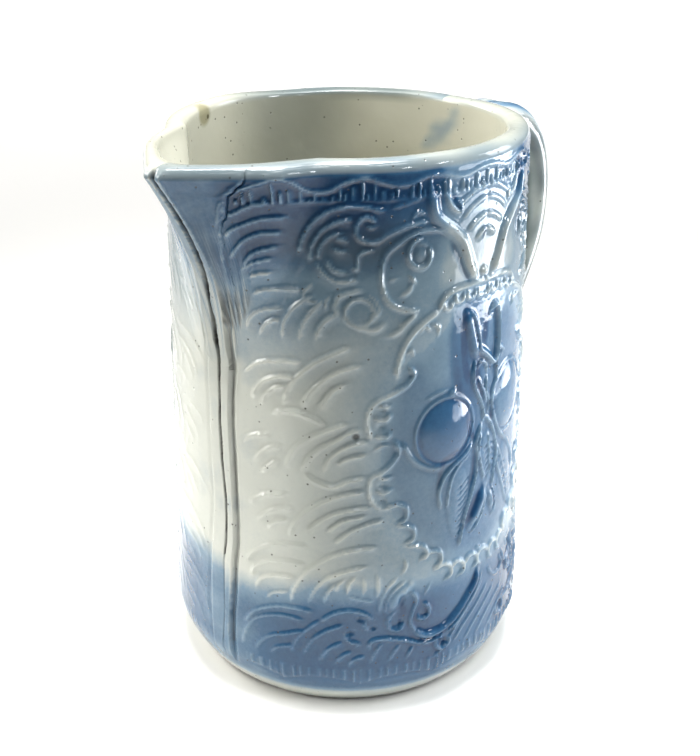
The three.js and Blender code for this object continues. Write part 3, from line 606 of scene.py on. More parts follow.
# A ring as stops, run a little past its start so that the tapered ends lie over each other.
def ringStops(middle, high, halfWidth, halfHeight):
    turns = np.linspace(0, 2 * np.pi * 1.08, 26)
    return [(middle + halfWidth / degreeWidth * math.cos(t), high + halfHeight * math.sin(t)) for t in turns]


bossRing = [[ringStops(44.7, 165.5, 4.9, 4.9), 1.15, 0.85]]
fruitRings = [
    [ringStops(72.6, 116.8, 12.9, 13.2), 0.95, 0.5],
    [ringStops(102.6, 119.6, 12.7, 14.0), 0.95, 0.7],
]


# The toothed band under the rim, the wavy line above it and the plain panel up to the lip.
def topBand(folded, z):
    line = curveThrough(topLine, 0.3)
    lineHeight = np.interp(folded, line[:, 0], line[:, 1])
    bottom = edging["reedBottom"]
    inBand = smoothStep((z - bottom) / 0.8) * smoothStep((lineHeight - 0.6 - z) / 0.8)
    tooth = folded / edging["topPitch"] + 0.2 * np.sin(folded * 0.8)
    upBand = np.clip((z - bottom) / np.maximum(lineHeight - bottom, 1), 0, 1)
    reed = (0.5 + 0.5 * np.cos(2 * np.pi * tooth)) ** (0.9 + 2.6 * upBand)
    tallness = 0.75 + 0.4 * np.sin(np.round(tooth) * 2.4)
    uneven = (0.95 + 0.35 * np.sin(np.round(tooth) * 1.7 + 1.0)) * smoothStep((tallness - upBand) / 0.15)
    teeth = inBand * (edging["toothRise"] * reed * uneven - edging["toothGround"])
    panel = edging["panelRise"] * smoothStep((z - lineHeight + 0.5) / 0.9) * smoothStep((height - 1 - z) / 2)
    ridge = edging["lineRise"] * np.exp(-((z - lineHeight) / edging["lineHalfWidth"]) ** 2)
    lowLine = edging["lowLineRise"] * np.exp(-((z - bottom) / 0.6) ** 2)
    return (teeth * smoothStep((folded - 12.5) / 3) + panel * smoothStep((folded - 7) / 4)
            + ridge * smoothStep((folded - 12.5) / 2) + lowLine * smoothStep((folded - 24) / 4))


# The reeds at the foot and the scalloped line under them.
def footBand(angle, folded, z):
    scallop = scallopHeight(angle)
    inFoot = smoothStep((z - scallop - 0.4) / 0.8) * smoothStep((edging["reedTopAtFoot"] - z) / 0.8)
    reed = (0.5 + 0.5 * np.cos(2 * np.pi * angle / edging["bottomPitch"] + 0.9 * np.sin(angle * 0.7))) ** 3.5
    reeds = inFoot * edging["bottomRise"] * reed * (0.8 + 0.35 * np.sin(angle * 1.9))
    line = edging["scallopDepth"] * np.exp(-((z - scallop) / 0.5) ** 2)
    return (reeds - line) * smoothStep((folded - 7) / 4)


# How far the moulded surface stands off the plain wall, in millimetres. angle is away from the spout.
def reliefAt(angle, z, side):
    field = np.zeros(len(angle))
    folded = np.minimum(angle, 2 * foldAngle - angle)
    for stops in waves:
        inPale = waveForm["paleFrom"] < stops[0][1] < waveForm["paleTo"]
        halfWidth, rise = waveForm["inPale" if inPale else "inBlue"]
        stroke(field, folded, z, stops, halfWidth, rise, waveForm["slope"])
    for stops, halfWidth, rise in scrolls + frameStrokes + lowerScrolls + bossRing:
        stroke(field, folded, z, stops, halfWidth, rise)
    for shape in domes:
        dome(field, angle, z, *shape)
    for stops, halfWidth, rise in sprays:
        stroke(field, angle, z, stops, halfWidth, rise)
    for shape in foldedDomes:
        dome(field, folded, z, *shape)
    for stops, halfWidth, rise in fruitRings:
        stroke(field, angle, z, stops, halfWidth, rise)
    field += topBand(folded, z) + footBand(angle, folded, z)
    if side < 0:  # the far side is worn smooth beside the spout
        field *= lerp(0.2, 1.0, smoothStep((angle - 36) / 14))
    return field * (0.92 + 0.16 * wallWaves(angle, z, side, 9.0, 0.4))


# How far the front strip stands off the wall, with the rough groove in it and the valley along each edge.
def strapAt(angle, z, radius, side):
    across = np.radians(angle) * radius
    half = strapEdge(z, side)
    edge = smoothStep((half + 0.4 - across) / 0.8)
    outOfValley = smoothStep((half + strap["valley"] + 0.6 - across) / 1.0)
    lowered = smoothStep((across - half + 0.2) / 0.5) * outOfValley
    rough = 0.25 * ragged(z * 1.3, 0.7) + 0.2 * ragged(z * 3.7, 2.0)
    middle = side * np.interp(z, strap["at"], strap["groove"])
    width = np.interp(z, strap["at"], strap["grooveHalf"]) * (1 + 0.5 * rough)
    groove = np.exp(-(np.abs(across - middle) / width) ** 3)
    depth = np.interp(z, strap["at"], strap["grooveDepth"]) * (1 + 0.3 * rough)
    below = 1 - smoothStep((z - 150) / 40)
    valley = strap["valleyDepth" if side > 0 else "farValleyDepth"]
    return (strap["rise"] * edge - valley * lowered * below - depth * groove) * smoothStep((z - 12) / 8)


# The back strip is plainer: a low seam that runs down from under the handle.
def backStrapAt(angle, z):
    across = np.radians(180 - angle) * 69
    edge = strap["backRise"] * smoothStep((strap["backHalfWidth"] + 0.45 - across) / 0.9)
    return (edge - strap["backGroove"] * np.exp(-(across / 0.7) ** 2)) * smoothStep((z - 12) / 8)


def rowsOf(low, high, step):
    count = max(2, int(round((high - low) / step)) + 1)
    return list(np.linspace(low, high, count))


def bodyColumns():
    angles = [np.linspace(start, end, count, endpoint=False) for start, end, count in body["columnSteps"]]
    return np.append(np.concatenate(angles), 180.0)


# The surface's radius along a row whose height may change from one column to the next.
def radiusAlong(surface, z, angles, side):
    if z.max() - z.min() < 0.001:
        return surface(z[0], angles, side)
    return np.array([surface(z[j], angles[j:j + 1], side)[0] for j in range(len(z))])


# The rounded lip's rows, from the outer edge to the inner one.
def lipLoops(columns, side):
    outerEdge = outsideRow(lipStart, columns, side)
    innerEdge = insideRow(lipStart, columns, side)
    turn = columns if side < 0 else 360 - columns
    sway = lip["sway"] * wallWaves(columns, 0.0, side, 13.0, 2.2)
    sway -= lip["dip"] * smoothStep((turn - 85) / 35) * smoothStep((225 - turn) / 45)
    sway += lip["rise"] * smoothStep((turn - 225) / 45 if side > 0 else (50 - turn) / 50)
    loops = []
    for k in range(1, lip["rows"]):
        bend = math.pi * k / lip["rows"]
        across = math.copysign(abs(math.cos(bend)) ** lip["acrossPower"], math.cos(bend))
        rise = math.sin(bend) ** lip["upPower"]
        z = lipStart + (lip["depth"] - 0.3) * rise + sway * rise
        loops.append((columns, lerp(innerEdge, outerEdge, 0.5 + 0.5 * across), z))
    return loops


# How grey the glaze is on each row of the lip, 0 to 1: thin on its crown, and lighter on the near inner edge
# as a painted highlight.
def lipGrey(columns, side):
    k = np.arange(1, lip["rows"])[:, None]
    around = smoothStep((columns - 70) / 60) if side < 0 else 1 - 0.4 * smoothStep((columns - 80) / 20)
    # inner keeps the near inner edge light: a painted highlight.
    inner = 0.3 if side > 0 else 0.0
    across = smoothStep((k + 0.5) / 2.0) * (1 - inner * smoothStep((k - 4.5) / 2.5))
    return across * around * (0.8 + 0.3 * wallWaves(columns, 0.0, side, 7.0, 1.2))


# One closed shell between the outer and inner surfaces. rowAt gives the angles and heights of a row's points,
# so the shell's edges can follow the seam and the luting line.
def shellPiece(name, side, rowAt, outerRows, innerRows, tail, lift):
    def loopsOf(surface, heights):
        rows = [rowAt(row, side) for row in heights]
        return [(angles, radiusAlong(surface, z, angles, side), z) for angles, z in rows]

    columns = rowAt(lipStart, side)[0]
    loops = loopsOf(outsideRow, outerRows) + lipLoops(columns, side) + loopsOf(insideRow, innerRows)
    for radius, row in tail:
        angles, z = rowAt(row, side)
        loops.append((angles, np.full(len(angles), radius), z))
    outerCount = len(outerRows)
    lipEnd = outerCount + lip["rows"] - 1
    angle, radius, z = (np.array([loop[part] for loop in loops]) for part in range(3))
    rows, cols = angle.shape
    outside = [part[:outerCount].ravel() for part in (angle, z, radius)]
    relief, cavity = lift(*outside, side, (outerCount, cols))
    radius[:outerCount] += relief
    for k in range(1, lip["rows"]):  # the relief fades over the lip
        radius[outerCount + k - 1] += relief[-1] * max(0.0, 1 - 3.0 * k / lip["rows"])
    around = np.radians(angle)
    points = np.stack([radius * np.cos(around), side * radius * np.sin(around), z], axis=-1).reshape(-1, 3)
    index = np.arange(rows * cols).reshape(rows, cols)
    upper = np.roll(index, -1, axis=0)
    quads = np.stack([index[:, :-1], index[:, 1:], upper[:, 1:], upper[:, :-1]], axis=-1).reshape(-1, 4)
    faces = (quads[:, ::-1] if side < 0 else quads).tolist()
    crest = outerCount + lip["rows"] // 2
    faces += endFaces(index, z, crest, 0, side > 0) + endFaces(index, z, crest, cols - 1, side < 0)
    values = {key: np.zeros((rows, cols)) for key in ("cavity", "rim", "inside")}
    values["cavity"][:outerCount] = cavity
    values["rim"][outerCount:lipEnd] = lipGrey(columns, side)
    inward = (np.arange(1, lip["rows"])[:, None] + 1.5) / (0.5 * lip["rows"])
    values["inside"][outerCount:lipEnd] = smoothStep(inward)
    values["inside"][lipEnd:] = 1.0
    return makeMesh(name, points, faces, values)


# Closes the end of a shell with a strip of triangles between its outer and inner edge.
def endFaces(index, z, crest, column, flip):
    outer = index[:crest + 1, column]
    inner = index[crest:, column][::-1]
    heights = z[:, column]
    outerZ = heights[:crest + 1]
    innerZ = heights[crest:][::-1]
    faces = []
    i = 0
    j = 0
    while i < len(outer) - 1 or j < len(inner) - 1:
        stepOuter = j == len(inner) - 1 or (i < len(outer) - 1 and outerZ[i + 1] <= innerZ[j + 1])
        corner = outer[i + 1] if stepOuter else inner[j + 1]
        face = [outer[i], inner[j], corner]
        if len(set(face)) == 3:
            faces.append([int(v) for v in (face if flip else face[::-1])])
        if stepOuter:
            i += 1
        else:
            j += 1
    return faces


def setValues(mesh, key, numbers):
    values = mesh.attributes.get(key) or mesh.attributes.new(key, "FLOAT", "POINT")
    values.data.foreach_set("value", np.asarray(numbers, np.float32).ravel())


def makeMesh(name, points, faces, values=None):
    mesh = bpy.data.meshes.new(name)
    mesh.from_pydata((np.asarray(points) * mm).tolist(), [], faces)
    mesh.update()
    for key, numbers in (values or {}).items():
        setValues(mesh, key, numbers)
    mesh.shade_smooth()
    mesh.set_sharp_from_angle(angle=math.radians(60))
    piece = bpy.data.objects.new(name, mesh)
    bpy.context.scene.collection.objects.link(piece)
    return piece


# Faces of a row-by-row tube of closed rings, with a fan at each end round two points that follow the rings.
def tubeFaces(rows, cols):
    ends = rows * cols
    faces = []
    for j in range(cols):
        after = (j + 1) % cols
        for i in range(0, ends - cols, cols):
            faces.append([i + j, i + after, i + cols + after, i + cols + j])
        faces.append([ends, after, j])
        faces.append([ends + 1, ends - cols + j, ends - cols + after])
    return faces


# How deep each point lies below its surroundings, where glaze pools: twice smoothed along both directions.
def pooledFrom(relief):
    reach = 2
    soft = relief
    for axis in (0, 1, 0, 1):
        sides = [(reach, reach) if a == axis else (0, 0) for a in (0, 1)]
        padded = np.pad(soft, sides, mode="edge")
        count = soft.shape[axis]
        shifted = [padded.take(range(k, k + count), axis=axis) for k in range(2 * reach + 1)]
        soft = sum(shifted) / len(shifted)
    return soft - relief


# How far a point lies from the luting line, across the surface, and how much of a step the joint makes there.
def fromLute(angle, z, radius):
    return np.radians(angle - luteAngle(z)) * radius, smoothStep((z - 193) / 7)


def bodyLift(angle, z, radius, side, shape):
    away, openShare = fromLute(angle, z, radius)
    onBody = np.where(z > ledge, smoothStep((away + 0.5) / 2.5), 1.0)
    relief = reliefAt(angle, z, side) * onBody + strapAt(angle, z, radius, side) + backStrapAt(angle, z)
    relief -= 0.6 * np.exp(-(away / 0.55) ** 2) * openShare
    relief += 0.24 * wallWaves(angle, z, side, 13.0, 0.8, radius)
    foot = np.clip(1 - z / 0.6, 0, 1)
    relief = (relief * smoothStep(z / 6) - 0.35 * foot ** 2).reshape(shape)
    return relief, pooledFrom(relief)


def spoutLift(angle, z, radius, side, shape):
    away, openShare = fromLute(angle, z, radius)
    ragEdge = 0.7 + 0.35 * ragged(z * 0.9, 2.1)
    relief = strapAt(angle, z, radius, side) + openShare * ragEdge * smoothStep(1 + away / 4.0)
    relief -= 0.5 * np.exp(-(away / 0.4) ** 2) * openShare
    for stops, halfWidth, rise in folds:
        stroke(relief, angle, z, stops, halfWidth, rise)
    streak = unevenness(angle * 2.6, side * 5.0, z * 0.16, 1.0, 1.1)
    low = smoothStep((z - 142) / 8) * smoothStep((190 - z) / 12) * smoothStep((angle - 4.5) / 2)
    relief += (0.22 * low + 0.05) * streak + 0.24 * wallWaves(angle, z, side, 13.0, 0.8, radius)
    relief = relief.reshape(shape)
    return relief, pooledFrom(relief)


# Slumped folds of clay beside the joint, drawn like the relief's strokes.
folds = [
    [[(12.4, 206), (11.2, 203), (10.4, 199.5), (9.6, 196)], 1.3, 0.7],
    [[(11.4, 199), (10.2, 195), (9.4, 191)], 1.1, 0.6],
    [[(9.8, 192), (9.0, 187), (8.4, 182)], 1.0, 0.4],
]
bodyAngles = bodyColumns()


# Heights and angles of the body's points in a row: from the seam, or from the luting line above the spout's
# foot. The columns nearest the spout are squeezed together to make room for it.
def bodyRowAt(row, side):
    start = seamAngle(row, side)
    if row > ledge:
        opened = math.sqrt(min(1.0, (row - ledge) / spout["rounding"]))
        start = lerp(start, float(luteAngle(row)), opened)
    squeezed = body["squeezedColumns"]
    angles = np.where(bodyAngles < squeezed, start + bodyAngles * (squeezed - start) / squeezed, bodyAngles)
    return angles, np.full(len(angles), row)


spoutShares = np.linspace(0, 1, 60) ** 1.3


def spoutRowAt(row, side):
    z = row + spout["rounding"] * spoutShares ** 2 * max(0.0, 1 - (row - ledge) / (2.5 * spout["rounding"]))
    start = np.array([seamAngle(v, side) for v in z])
    return start + (luteAngle(z) - start) * spoutShares, z


outerBodyRows = [0.0, 0.35, 0.9, 1.6, 2.4] + rowsOf(3.1, ledge, body["rowStep"])
outerBodyRows += [ledge + 0.12, ledge + 0.3, ledge + 0.6, ledge + 1.0]
outerBodyRows += rowsOf(ledge + 1.6, lipStart, body["rowStep"])
innerBodyRows = rowsOf(ledge + 3, lipStart - 1.0, 2.6)[::-1] + [ledge + 1.6, ledge + 0.6, ledge + 0.12, ledge]
innerBodyRows += rowsOf(30, ledge - 4, 5.5)[::-1]
innerBodyRows += [26, 23.5, 21, 18.5, 16.3, 14.3, 12.7, 11.5, 10.6, 10.0, body["floor"] + 0.05]
tailRadius = body["slabRadius"] + 0.25
tailRows = [(tailRadius, body["floor"] - 0.5), (tailRadius, 1.0), (tailRadius + 0.45, 0.0)]
bodyPieces = []
spoutPieces = []
for label, facing in (("left", 1), ("right", -1)):
    piece = shellPiece(f"body_{label}", facing, bodyRowAt, outerBodyRows, innerBodyRows, tailRows, bodyLift)
    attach(piece, "root")
    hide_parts(f"body_half_{label}")
    bodyPieces.append(piece)
    piece = shellPiece(f"spout_{label}", facing, spoutRowAt, rowsOf(ledge, lipStart, 0.6),
                       rowsOf(ledge, lipStart - 1.0, 0.9)[::-1], [], spoutLift)
    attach(piece, "root")
    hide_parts(f"spout_half_{label}")
    spoutPieces.append(piece)
print("body and spout made")

# The base slab. Its underside is given as (radius, height).

slab = {
    "sides": 180,
    "underside": [(12, 1.25), (26, 1.0), (38, 0.6), (46, 0.25), (50, 0.05)],
    "dome": 1.3,
    "edge": 0.4,
    "topDish": 0.5,
    "ridge": 0.12,
    "ridgeTurn": 0.9,
}


def makeSlab():
    radius = body["slabRadius"] + 0.2
    floor = body["floor"]
    edge = slab["edge"]
    dishRadii = np.linspace(radius - 2, 1.0, 26)
    dish = [(r, floor - slab["topDish"] * smoothStep((radius - r) / 30)) for r in dishRadii]
    outline = slab["underside"] + [(radius - 0.5, 0.0), (radius, edge)]
    outline += [(radius, floor - edge), (radius - 0.3, floor)]
    topStart = len(outline) - 1
    outline += dish
    turn = np.linspace(0, 2 * np.pi, slab["sides"], endpoint=False)
    rings = []
    for r, z in outline:
        ridge = slab["ridge"] * math.sin(r * slab["ridgeTurn"]) if z > floor * 0.5 else 0.0
        rings.append(np.stack([r * np.cos(turn), r * np.sin(turn), np.full(len(turn), z + ridge)], axis=-1))
    middles = np.array([[0, 0, slab["dome"]], [0, 0, floor - slab["topDish"]]])
    inside = np.zeros(len(rings) * slab["sides"] + 2)
    inside[topStart * slab["sides"]:] = 1.0
    inside[-2] = 0.0
    faces = tubeFaces(len(rings), slab["sides"])
    return makeMesh("base", np.vstack(rings + [middles]), faces, {"inside": inside})


base = makeSlab()
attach(base, "root")
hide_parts("base_slab")

# The handle's sizes. Its outer and inner faces are slightly hollow, and its ends run into the wall.
handle = {
    "width": 24.0,
    "thickness": 12.0,
    "topHeight": 200.4,
    "bottomHeight": 88.0,
    "reach": 53.5,
    "inWall": 8.0,
    "buried": 7.5,
    "endWidens": 0.16,
    "endThickens": 0.22,
    "cornerPower": 0.78,
    "outerGroove": 0.8,
    "innerGroove": 0.5,
    "stations": 170,
    "sides": 56,
    "collarLength": 0.15,
    "collarFlare": 5.8,
    "collarRise": 3.0,
    "collarStations": 60,
    "collarSides": 72,
}


# The middle line of the handle as (distance from the axis, height), with each point's share of its length.
def handleLine():
    high = handle["topHeight"]
    low = handle["bottomHeight"]
    reach = handle["reach"]
    upper = float(wallRadius(high))
    middle = lerp(low, high, 0.66)
    stops = [(upper - handle["inWall"], high - 1), (upper + reach * 0.22, high + 0.8),
             (upper + reach * 0.62, high - 0.6), (upper + reach * 0.9, lerp(middle, high, 0.66)),
             (upper + reach, lerp(middle, high, 0.2)), (upper + reach * 0.95, lerp(low, middle, 0.76)),
             (upper + reach * 0.7, lerp(low, middle, 0.44)), (upper + reach * 0.36, lerp(low, middle, 0.17)),
             (float(wallRadius(low)) - handle["inWall"], low - 6)]
    line = curveThrough(stops, 0.8)
    run = np.concatenate([[0], np.cumsum(np.linalg.norm(np.diff(line, axis=0), axis=1))])
    return line, run / run[-1]


handlePath, handleShare = handleLine()


# A strap swept along part of the handle's line. grow tells what its half-width and half-thickness gain.
def sweptStrap(name, start, end, stations, sides, grow, phase):
    shares = np.linspace(start, end, stations)
    x = np.interp(shares, handleShare, handlePath[:, 0])
    z = np.interp(shares, handleShare, handlePath[:, 1])
    dx = np.gradient(x, shares)
    dz = np.gradient(z, shares)
    length = np.hypot(dx, dz)
    turn = np.linspace(0, 2 * np.pi, sides, endpoint=False)
    corner = handle["cornerPower"]
    acrossUnit = np.sign(np.cos(turn)) * np.abs(np.cos(turn)) ** corner
    upUnit = np.sign(np.sin(turn)) * np.abs(np.sin(turn)) ** corner
    hollow = np.where(upUnit > 0, handle["outerGroove"], -handle["innerGroove"])
    ends = np.abs(shares * 2 - 1) ** 3
    rings = []
    for i, share in enumerate(shares):
        wide, thick = grow((share - start) / (end - start))
        halfWidth = handle["width"] / 2 * (1 + handle["endWidens"] * ends[i]) + wide
        halfThick = handle["thickness"] / 2 * (1 + handle["endThickens"] * ends[i]) + thick
        across = acrossUnit * halfWidth
        up = upUnit * halfThick - hollow * np.exp(-(across / (halfWidth * 0.42)) ** 2)
        bump = 0.3 * unevenness(share * 150, 9 * np.cos(turn), 5 * np.sin(turn), 4.5, phase)
        up = up + bump * np.sin(turn)
        across = across + bump * np.cos(turn)
        back = up * dz[i] / length[i] - x[i]
        rings.append(np.stack([back, across, z[i] + up * dx[i] / length[i]], axis=-1))
    points = np.array(rings)
    faces = tubeFaces(stations, sides)
    if start < end:
        faces = [face[::-1] for face in faces]
    return makeMesh(name, np.vstack([points.reshape(-1, 3), points[[0, -1]].mean(axis=1)]), faces)


wallShare = handle["buried"] / (np.linalg.norm(np.diff(handlePath, axis=0), axis=1).sum())
grip = sweptStrap("grip", wallShare, 1 - wallShare * 1.1, handle["stations"], handle["sides"],
                  lambda share: (0.0, 0.0), 0.7)
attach(grip, "root")
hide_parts("handle")


# A lute is thickest where it meets the wall, and thins along the handle.
def flare(share):
    away = (1 - share) ** 2.2
    return 0.25 + handle["collarFlare"] * away, 0.25 + handle["collarRise"] * away


collarCounts = (handle["collarStations"], handle["collarSides"])
upperLute = sweptStrap("upper_lute", wallShare * 0.9, handle["collarLength"], *collarCounts, flare, 1.9)
lowerLute = sweptStrap("lower_lute", 1 - wallShare, 1 - handle["collarLength"], *collarCounts, flare, 2.6)
for piece, node in ((upperLute, "handle_upper_lute"), (lowerLute, "handle_lower_lute")):
    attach(piece, "root")
    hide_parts(node)
print("handle and base made")


# Materials

# Turns an sRGB hex value to a linear colour.
def linear(hexColour):
    values = [int(hexColour[i:i + 2], 16) / 255 for i in (1, 3, 5)]
    return tuple(v / 12.92 if v <= 0.04045 else ((v + 0.055) / 1.055) ** 2.4 for v in values) + (1.0,)


# Adds a node with its settings and links. A pair (node, socket) in inputs links, anything else sets a value.
def addNode(tree, kind, settings=None, inputs=None):
    node = tree.nodes.new("ShaderNode" + kind)
    for key, value in (settings or {}).items():
        setattr(node, key, value)
    for key, value in (inputs or {}).items():
        if isinstance(value, tuple) and len(value) == 2 and isinstance(value[0], bpy.types.Node):
            tree.links.new(value[0].outputs[value[1]], node.inputs[key])
        else:
            node.inputs[key].default_value = value
    return node


def newMaterial(name):
    material = bpy.data.materials.new(name)
    material.use_nodes = True
    material.node_tree.nodes.clear()
    return material, material.node_tree


glaze = {
    "pale": "#c9ccc3",
    "mid": "#6f8a9e",
    "blue": "#33597a",
    "deep": "#1a3a5c",
    "inside": "#c4c3b3",
    "rim": "#75848a",
    "ash": "#56615f",
    "speck": "#3c3a36",
    "soil": "#2a2622",
    "bare": "#d6cdb8",
    "bareDark": "#b9ad93",
}
# The sizes of the patterns in the glaze and the clay, in millimetres. The grit is drawn coarser than it is.
grain = {
    "mottle": 1.923,
    "cloud": 29.41,
    "dimple": 2.381,
    "ripple": 10.526,
    "specks": 3.3333,
    "grit": 1.111,
}
# How fine and how harsh the glaze's noises are, as (detail, roughness).
grainForm = {
    "mottle": (5.0, 0.7),
    "cloud": (3.0, 0.5),
    "dimple": (2.0, 0.5),
    "ripple": (2.0, 0.5),
}


# Burnt spots and a chip on the rim, as (place, radius, strength, colour).
marks = [
    ((49.8, 47.8, 119.4), 1.9, 0.95, "#1c2426"),
    ((20.0, -54.6, 212.2), 5.6, 0.75, "#8a8460"),
    ((17.4, -55.6, 210.6), 1.1, 0.8, "#4a4430"),
    ((77.0, 7.4, 186.0), 1.2, 0.7, "#2d3540"),
    ((84.0, 7.0, 193.0), 1.1, 0.7, "#2d3540"),
]


# Salt-type stoneware glaze with airbrushed cobalt: glossy, slightly dimpled like orange peel, blue where it
# was sprayed, where it pooled beside the relief and as painted shade in some recesses, with iron specks and
# pinholes, and matt where dirt is. Its grey and grime layers also carry painted shade, and the grime layer is
# matt too.
def makeGlaze(name):
    material, tree = newMaterial(name)
    place = addNode(tree, "TexCoord")
    layers = {key: addNode(tree, "Attribute", {"attribute_name": key})
              for key in ("cobalt", "cavity", "inside", "rim", "smear", "ash", "soiled")}
    noises = {}
    for key, (detail, harshness) in grainForm.items():
        noises[key] = addNode(tree, "TexNoise", None,
                              {"Vector": (place, "Object"), "Scale": 1 / (grain[key] * mm),
                               "Detail": detail, "Roughness": harshness})
    pooled = addNode(tree, "Clamp", None, {"Value": (layers["cavity"], "Fac"), "Min": -1.5, "Max": 0.5})
    pool = addNode(tree, "Math", {"operation": "MULTIPLY"}, {0: (pooled, 0), 1: 0.34})
    mottled = addNode(tree, "MapRange", None,
                      {"Value": (noises["mottle"], "Fac"), "To Min": -0.16, "To Max": 0.16})
    clouded = addNode(tree, "MapRange", None,
                      {"Value": (noises["cloud"], "Fac"), "To Min": -0.1, "To Max": 0.1})
    drift = addNode(tree, "Math", {"operation": "ADD"}, {0: (mottled, 0), 1: (clouded, 0)})
    weight = addNode(tree, "MapRange", None,
                     {"Value": (layers["cobalt"], "Fac"), "To Min": 0.3, "To Max": 1.0})
    spread = addNode(tree, "Math", {"operation": "ADD"}, {0: (drift, 0), 1: (pool, 0)})
    scaled = addNode(tree, "Math", {"operation": "MULTIPLY"}, {0: (spread, 0), 1: (weight, 0)})
    amount = addNode(tree, "Math", {"operation": "ADD", "use_clamp": True},
                     {0: (scaled, 0), 1: (layers["cobalt"], "Fac")})
    ramp = addNode(tree, "ValToRGB", None, {"Fac": (amount, 0)})
    stops = ramp.color_ramp.elements
    stops[0].position, stops[0].color = 0.0, linear(glaze["pale"])
    stops[1].position, stops[1].color = 1.0, linear(glaze["deep"])
    stops.new(0.35).color = linear(glaze["mid"])
    stops.new(0.68).color = linear(glaze["blue"])
    cells = addNode(tree, "TexVoronoi", None,
                    {"Vector": (place, "Object"), "Scale": 1 / (grain["specks"] * mm)})
    chosen = addNode(tree, "SeparateColor", None, {"Color": (cells, "Color")})
    few = addNode(tree, "Math", {"operation": "GREATER_THAN"}, {0: (chosen, 0), 1: 0.64})
    close = addNode(tree, "MapRange", None,
                    {"Value": (cells, "Distance"), "From Min": 0.06, "From Max": 0.16,
                     "To Min": 0.8, "To Max": 0.0})
    speck = addNode(tree, "Math", {"operation": "MULTIPLY"}, {0: (few, 0), 1: (close, 0)})
    covers = [((layers["inside"], "Fac"), glaze["inside"]), ((layers["rim"], "Fac"), glaze["rim"]),
              ((layers["smear"], "Fac"), glaze["mid"]), ((layers["ash"], "Fac"), glaze["ash"]),
              ((layers["soiled"], "Fac"), glaze["soil"]), ((speck, 0), glaze["speck"])]
    for spot, radius, strength, tint in marks:
        away = addNode(tree, "VectorMath", {"operation": "DISTANCE"},
                       {0: (place, "Object"), 1: tuple(v * mm for v in spot)})
        covered = addNode(tree, "MapRange", None,
                          {"Value": (away, "Value"), "From Min": radius * 0.6 * mm, "From Max": radius * mm,
                           "To Min": strength, "To Max": 0.0})
        covers.append(((covered, 0), tint))
    colour = (ramp, "Color")
    for cover, tint in covers:
        mixed = addNode(tree, "Mix", {"data_type": "RGBA"}, {"Factor": cover, 6: colour, 7: linear(tint)})
        colour = (mixed, 2)
    peel = addNode(tree, "Bump", None,
                   {"Strength": 0.12, "Distance": 0.0004, "Height": (noises["dimple"], "Fac")})
    wave = addNode(tree, "Bump", None,
                   {"Strength": 0.22, "Distance": 0.0012, "Height": (noises["ripple"], "Fac"),
                    "Normal": (peel, 0)})
    pit = addNode(tree, "Bump", {"invert": True},
                  {"Strength": 0.5, "Distance": 0.0004, "Height": (speck, 0), "Normal": (wave, 0)})
    gloss = addNode(tree, "MapRange", None,
                    {"Value": (noises["cloud"], "Fac"), "To Min": 0.045, "To Max": 0.1})
    grimeAndShadeMatt = addNode(tree, "MapRange", None,
                   {"Value": (layers["soiled"], "Fac"), "To Min": 0.0, "To Max": 0.8})
    rough = addNode(tree, "Math", {"operation": "MAXIMUM"}, {0: (gloss, 0), 1: (grimeAndShadeMatt, 0)})
    shine = addNode(tree, "MapRange", None,
                    {"Value": (layers["soiled"], "Fac"), "To Min": 0.5, "To Max": 0.05})
    shader = addNode(tree, "BsdfPrincipled", None,
                     {"Base Color": colour, "Roughness": (rough, 0), "Specular IOR Level": (shine, 0),
                      "Normal": (pit, 0), "IOR": 1.47})
    addNode(tree, "OutputMaterial", None, {"Surface": (shader, 0)})
    return material


# The sprayed bands of cobalt: amounts from 0 to 1, and the heights that they start or end at.
spray = {
    "top": 0.97,
    "topOnSpout": 0.62,
    "topFrom": 165,
    "topFromOnSpout": 159,
    "topFade": 26,
    "haze": 0.36,
    "hazeOnSpout": 0.24,
    "hazeFrom": 128,
    "hazeFade": 46,
    "foot": 0.86,
    "footTo": 63,
    "footFade": 22,
    "edge": 0.3,
}
# Clouds of cobalt: (angle, height, half-width, half-height, share at which they end, fade, amount).
clouds = {
    "field": (86, 112, 37, 56, 1.12, 0.34, 0.6),
    "stem": (80.5, 146, 7.5, 24, 1.2, 0.6, 0.2),
    "thin": (70, 150, 8, 16, 1.2, 0.6, -0.14),
    "fruit": (73, 116, 12, 16, 1.2, 0.5, 0.2),
    "scroll": (60, 178, 20, 24, 1.2, 0.6, 0.34),
}


# How far a place lies from a cloud's middle, as a share of the cloud's size.
def cloudShare(angle, z, middle, high, halfWidth, halfHeight):
    return np.hypot((angle - middle) / halfWidth, (z - high) / halfHeight)


def cloudAt(angle, z, name):
    end, fade, amount = clouds[name][4:]
    return amount * smoothStep((end - cloudShare(angle, z, *clouds[name][:4])) / fade)
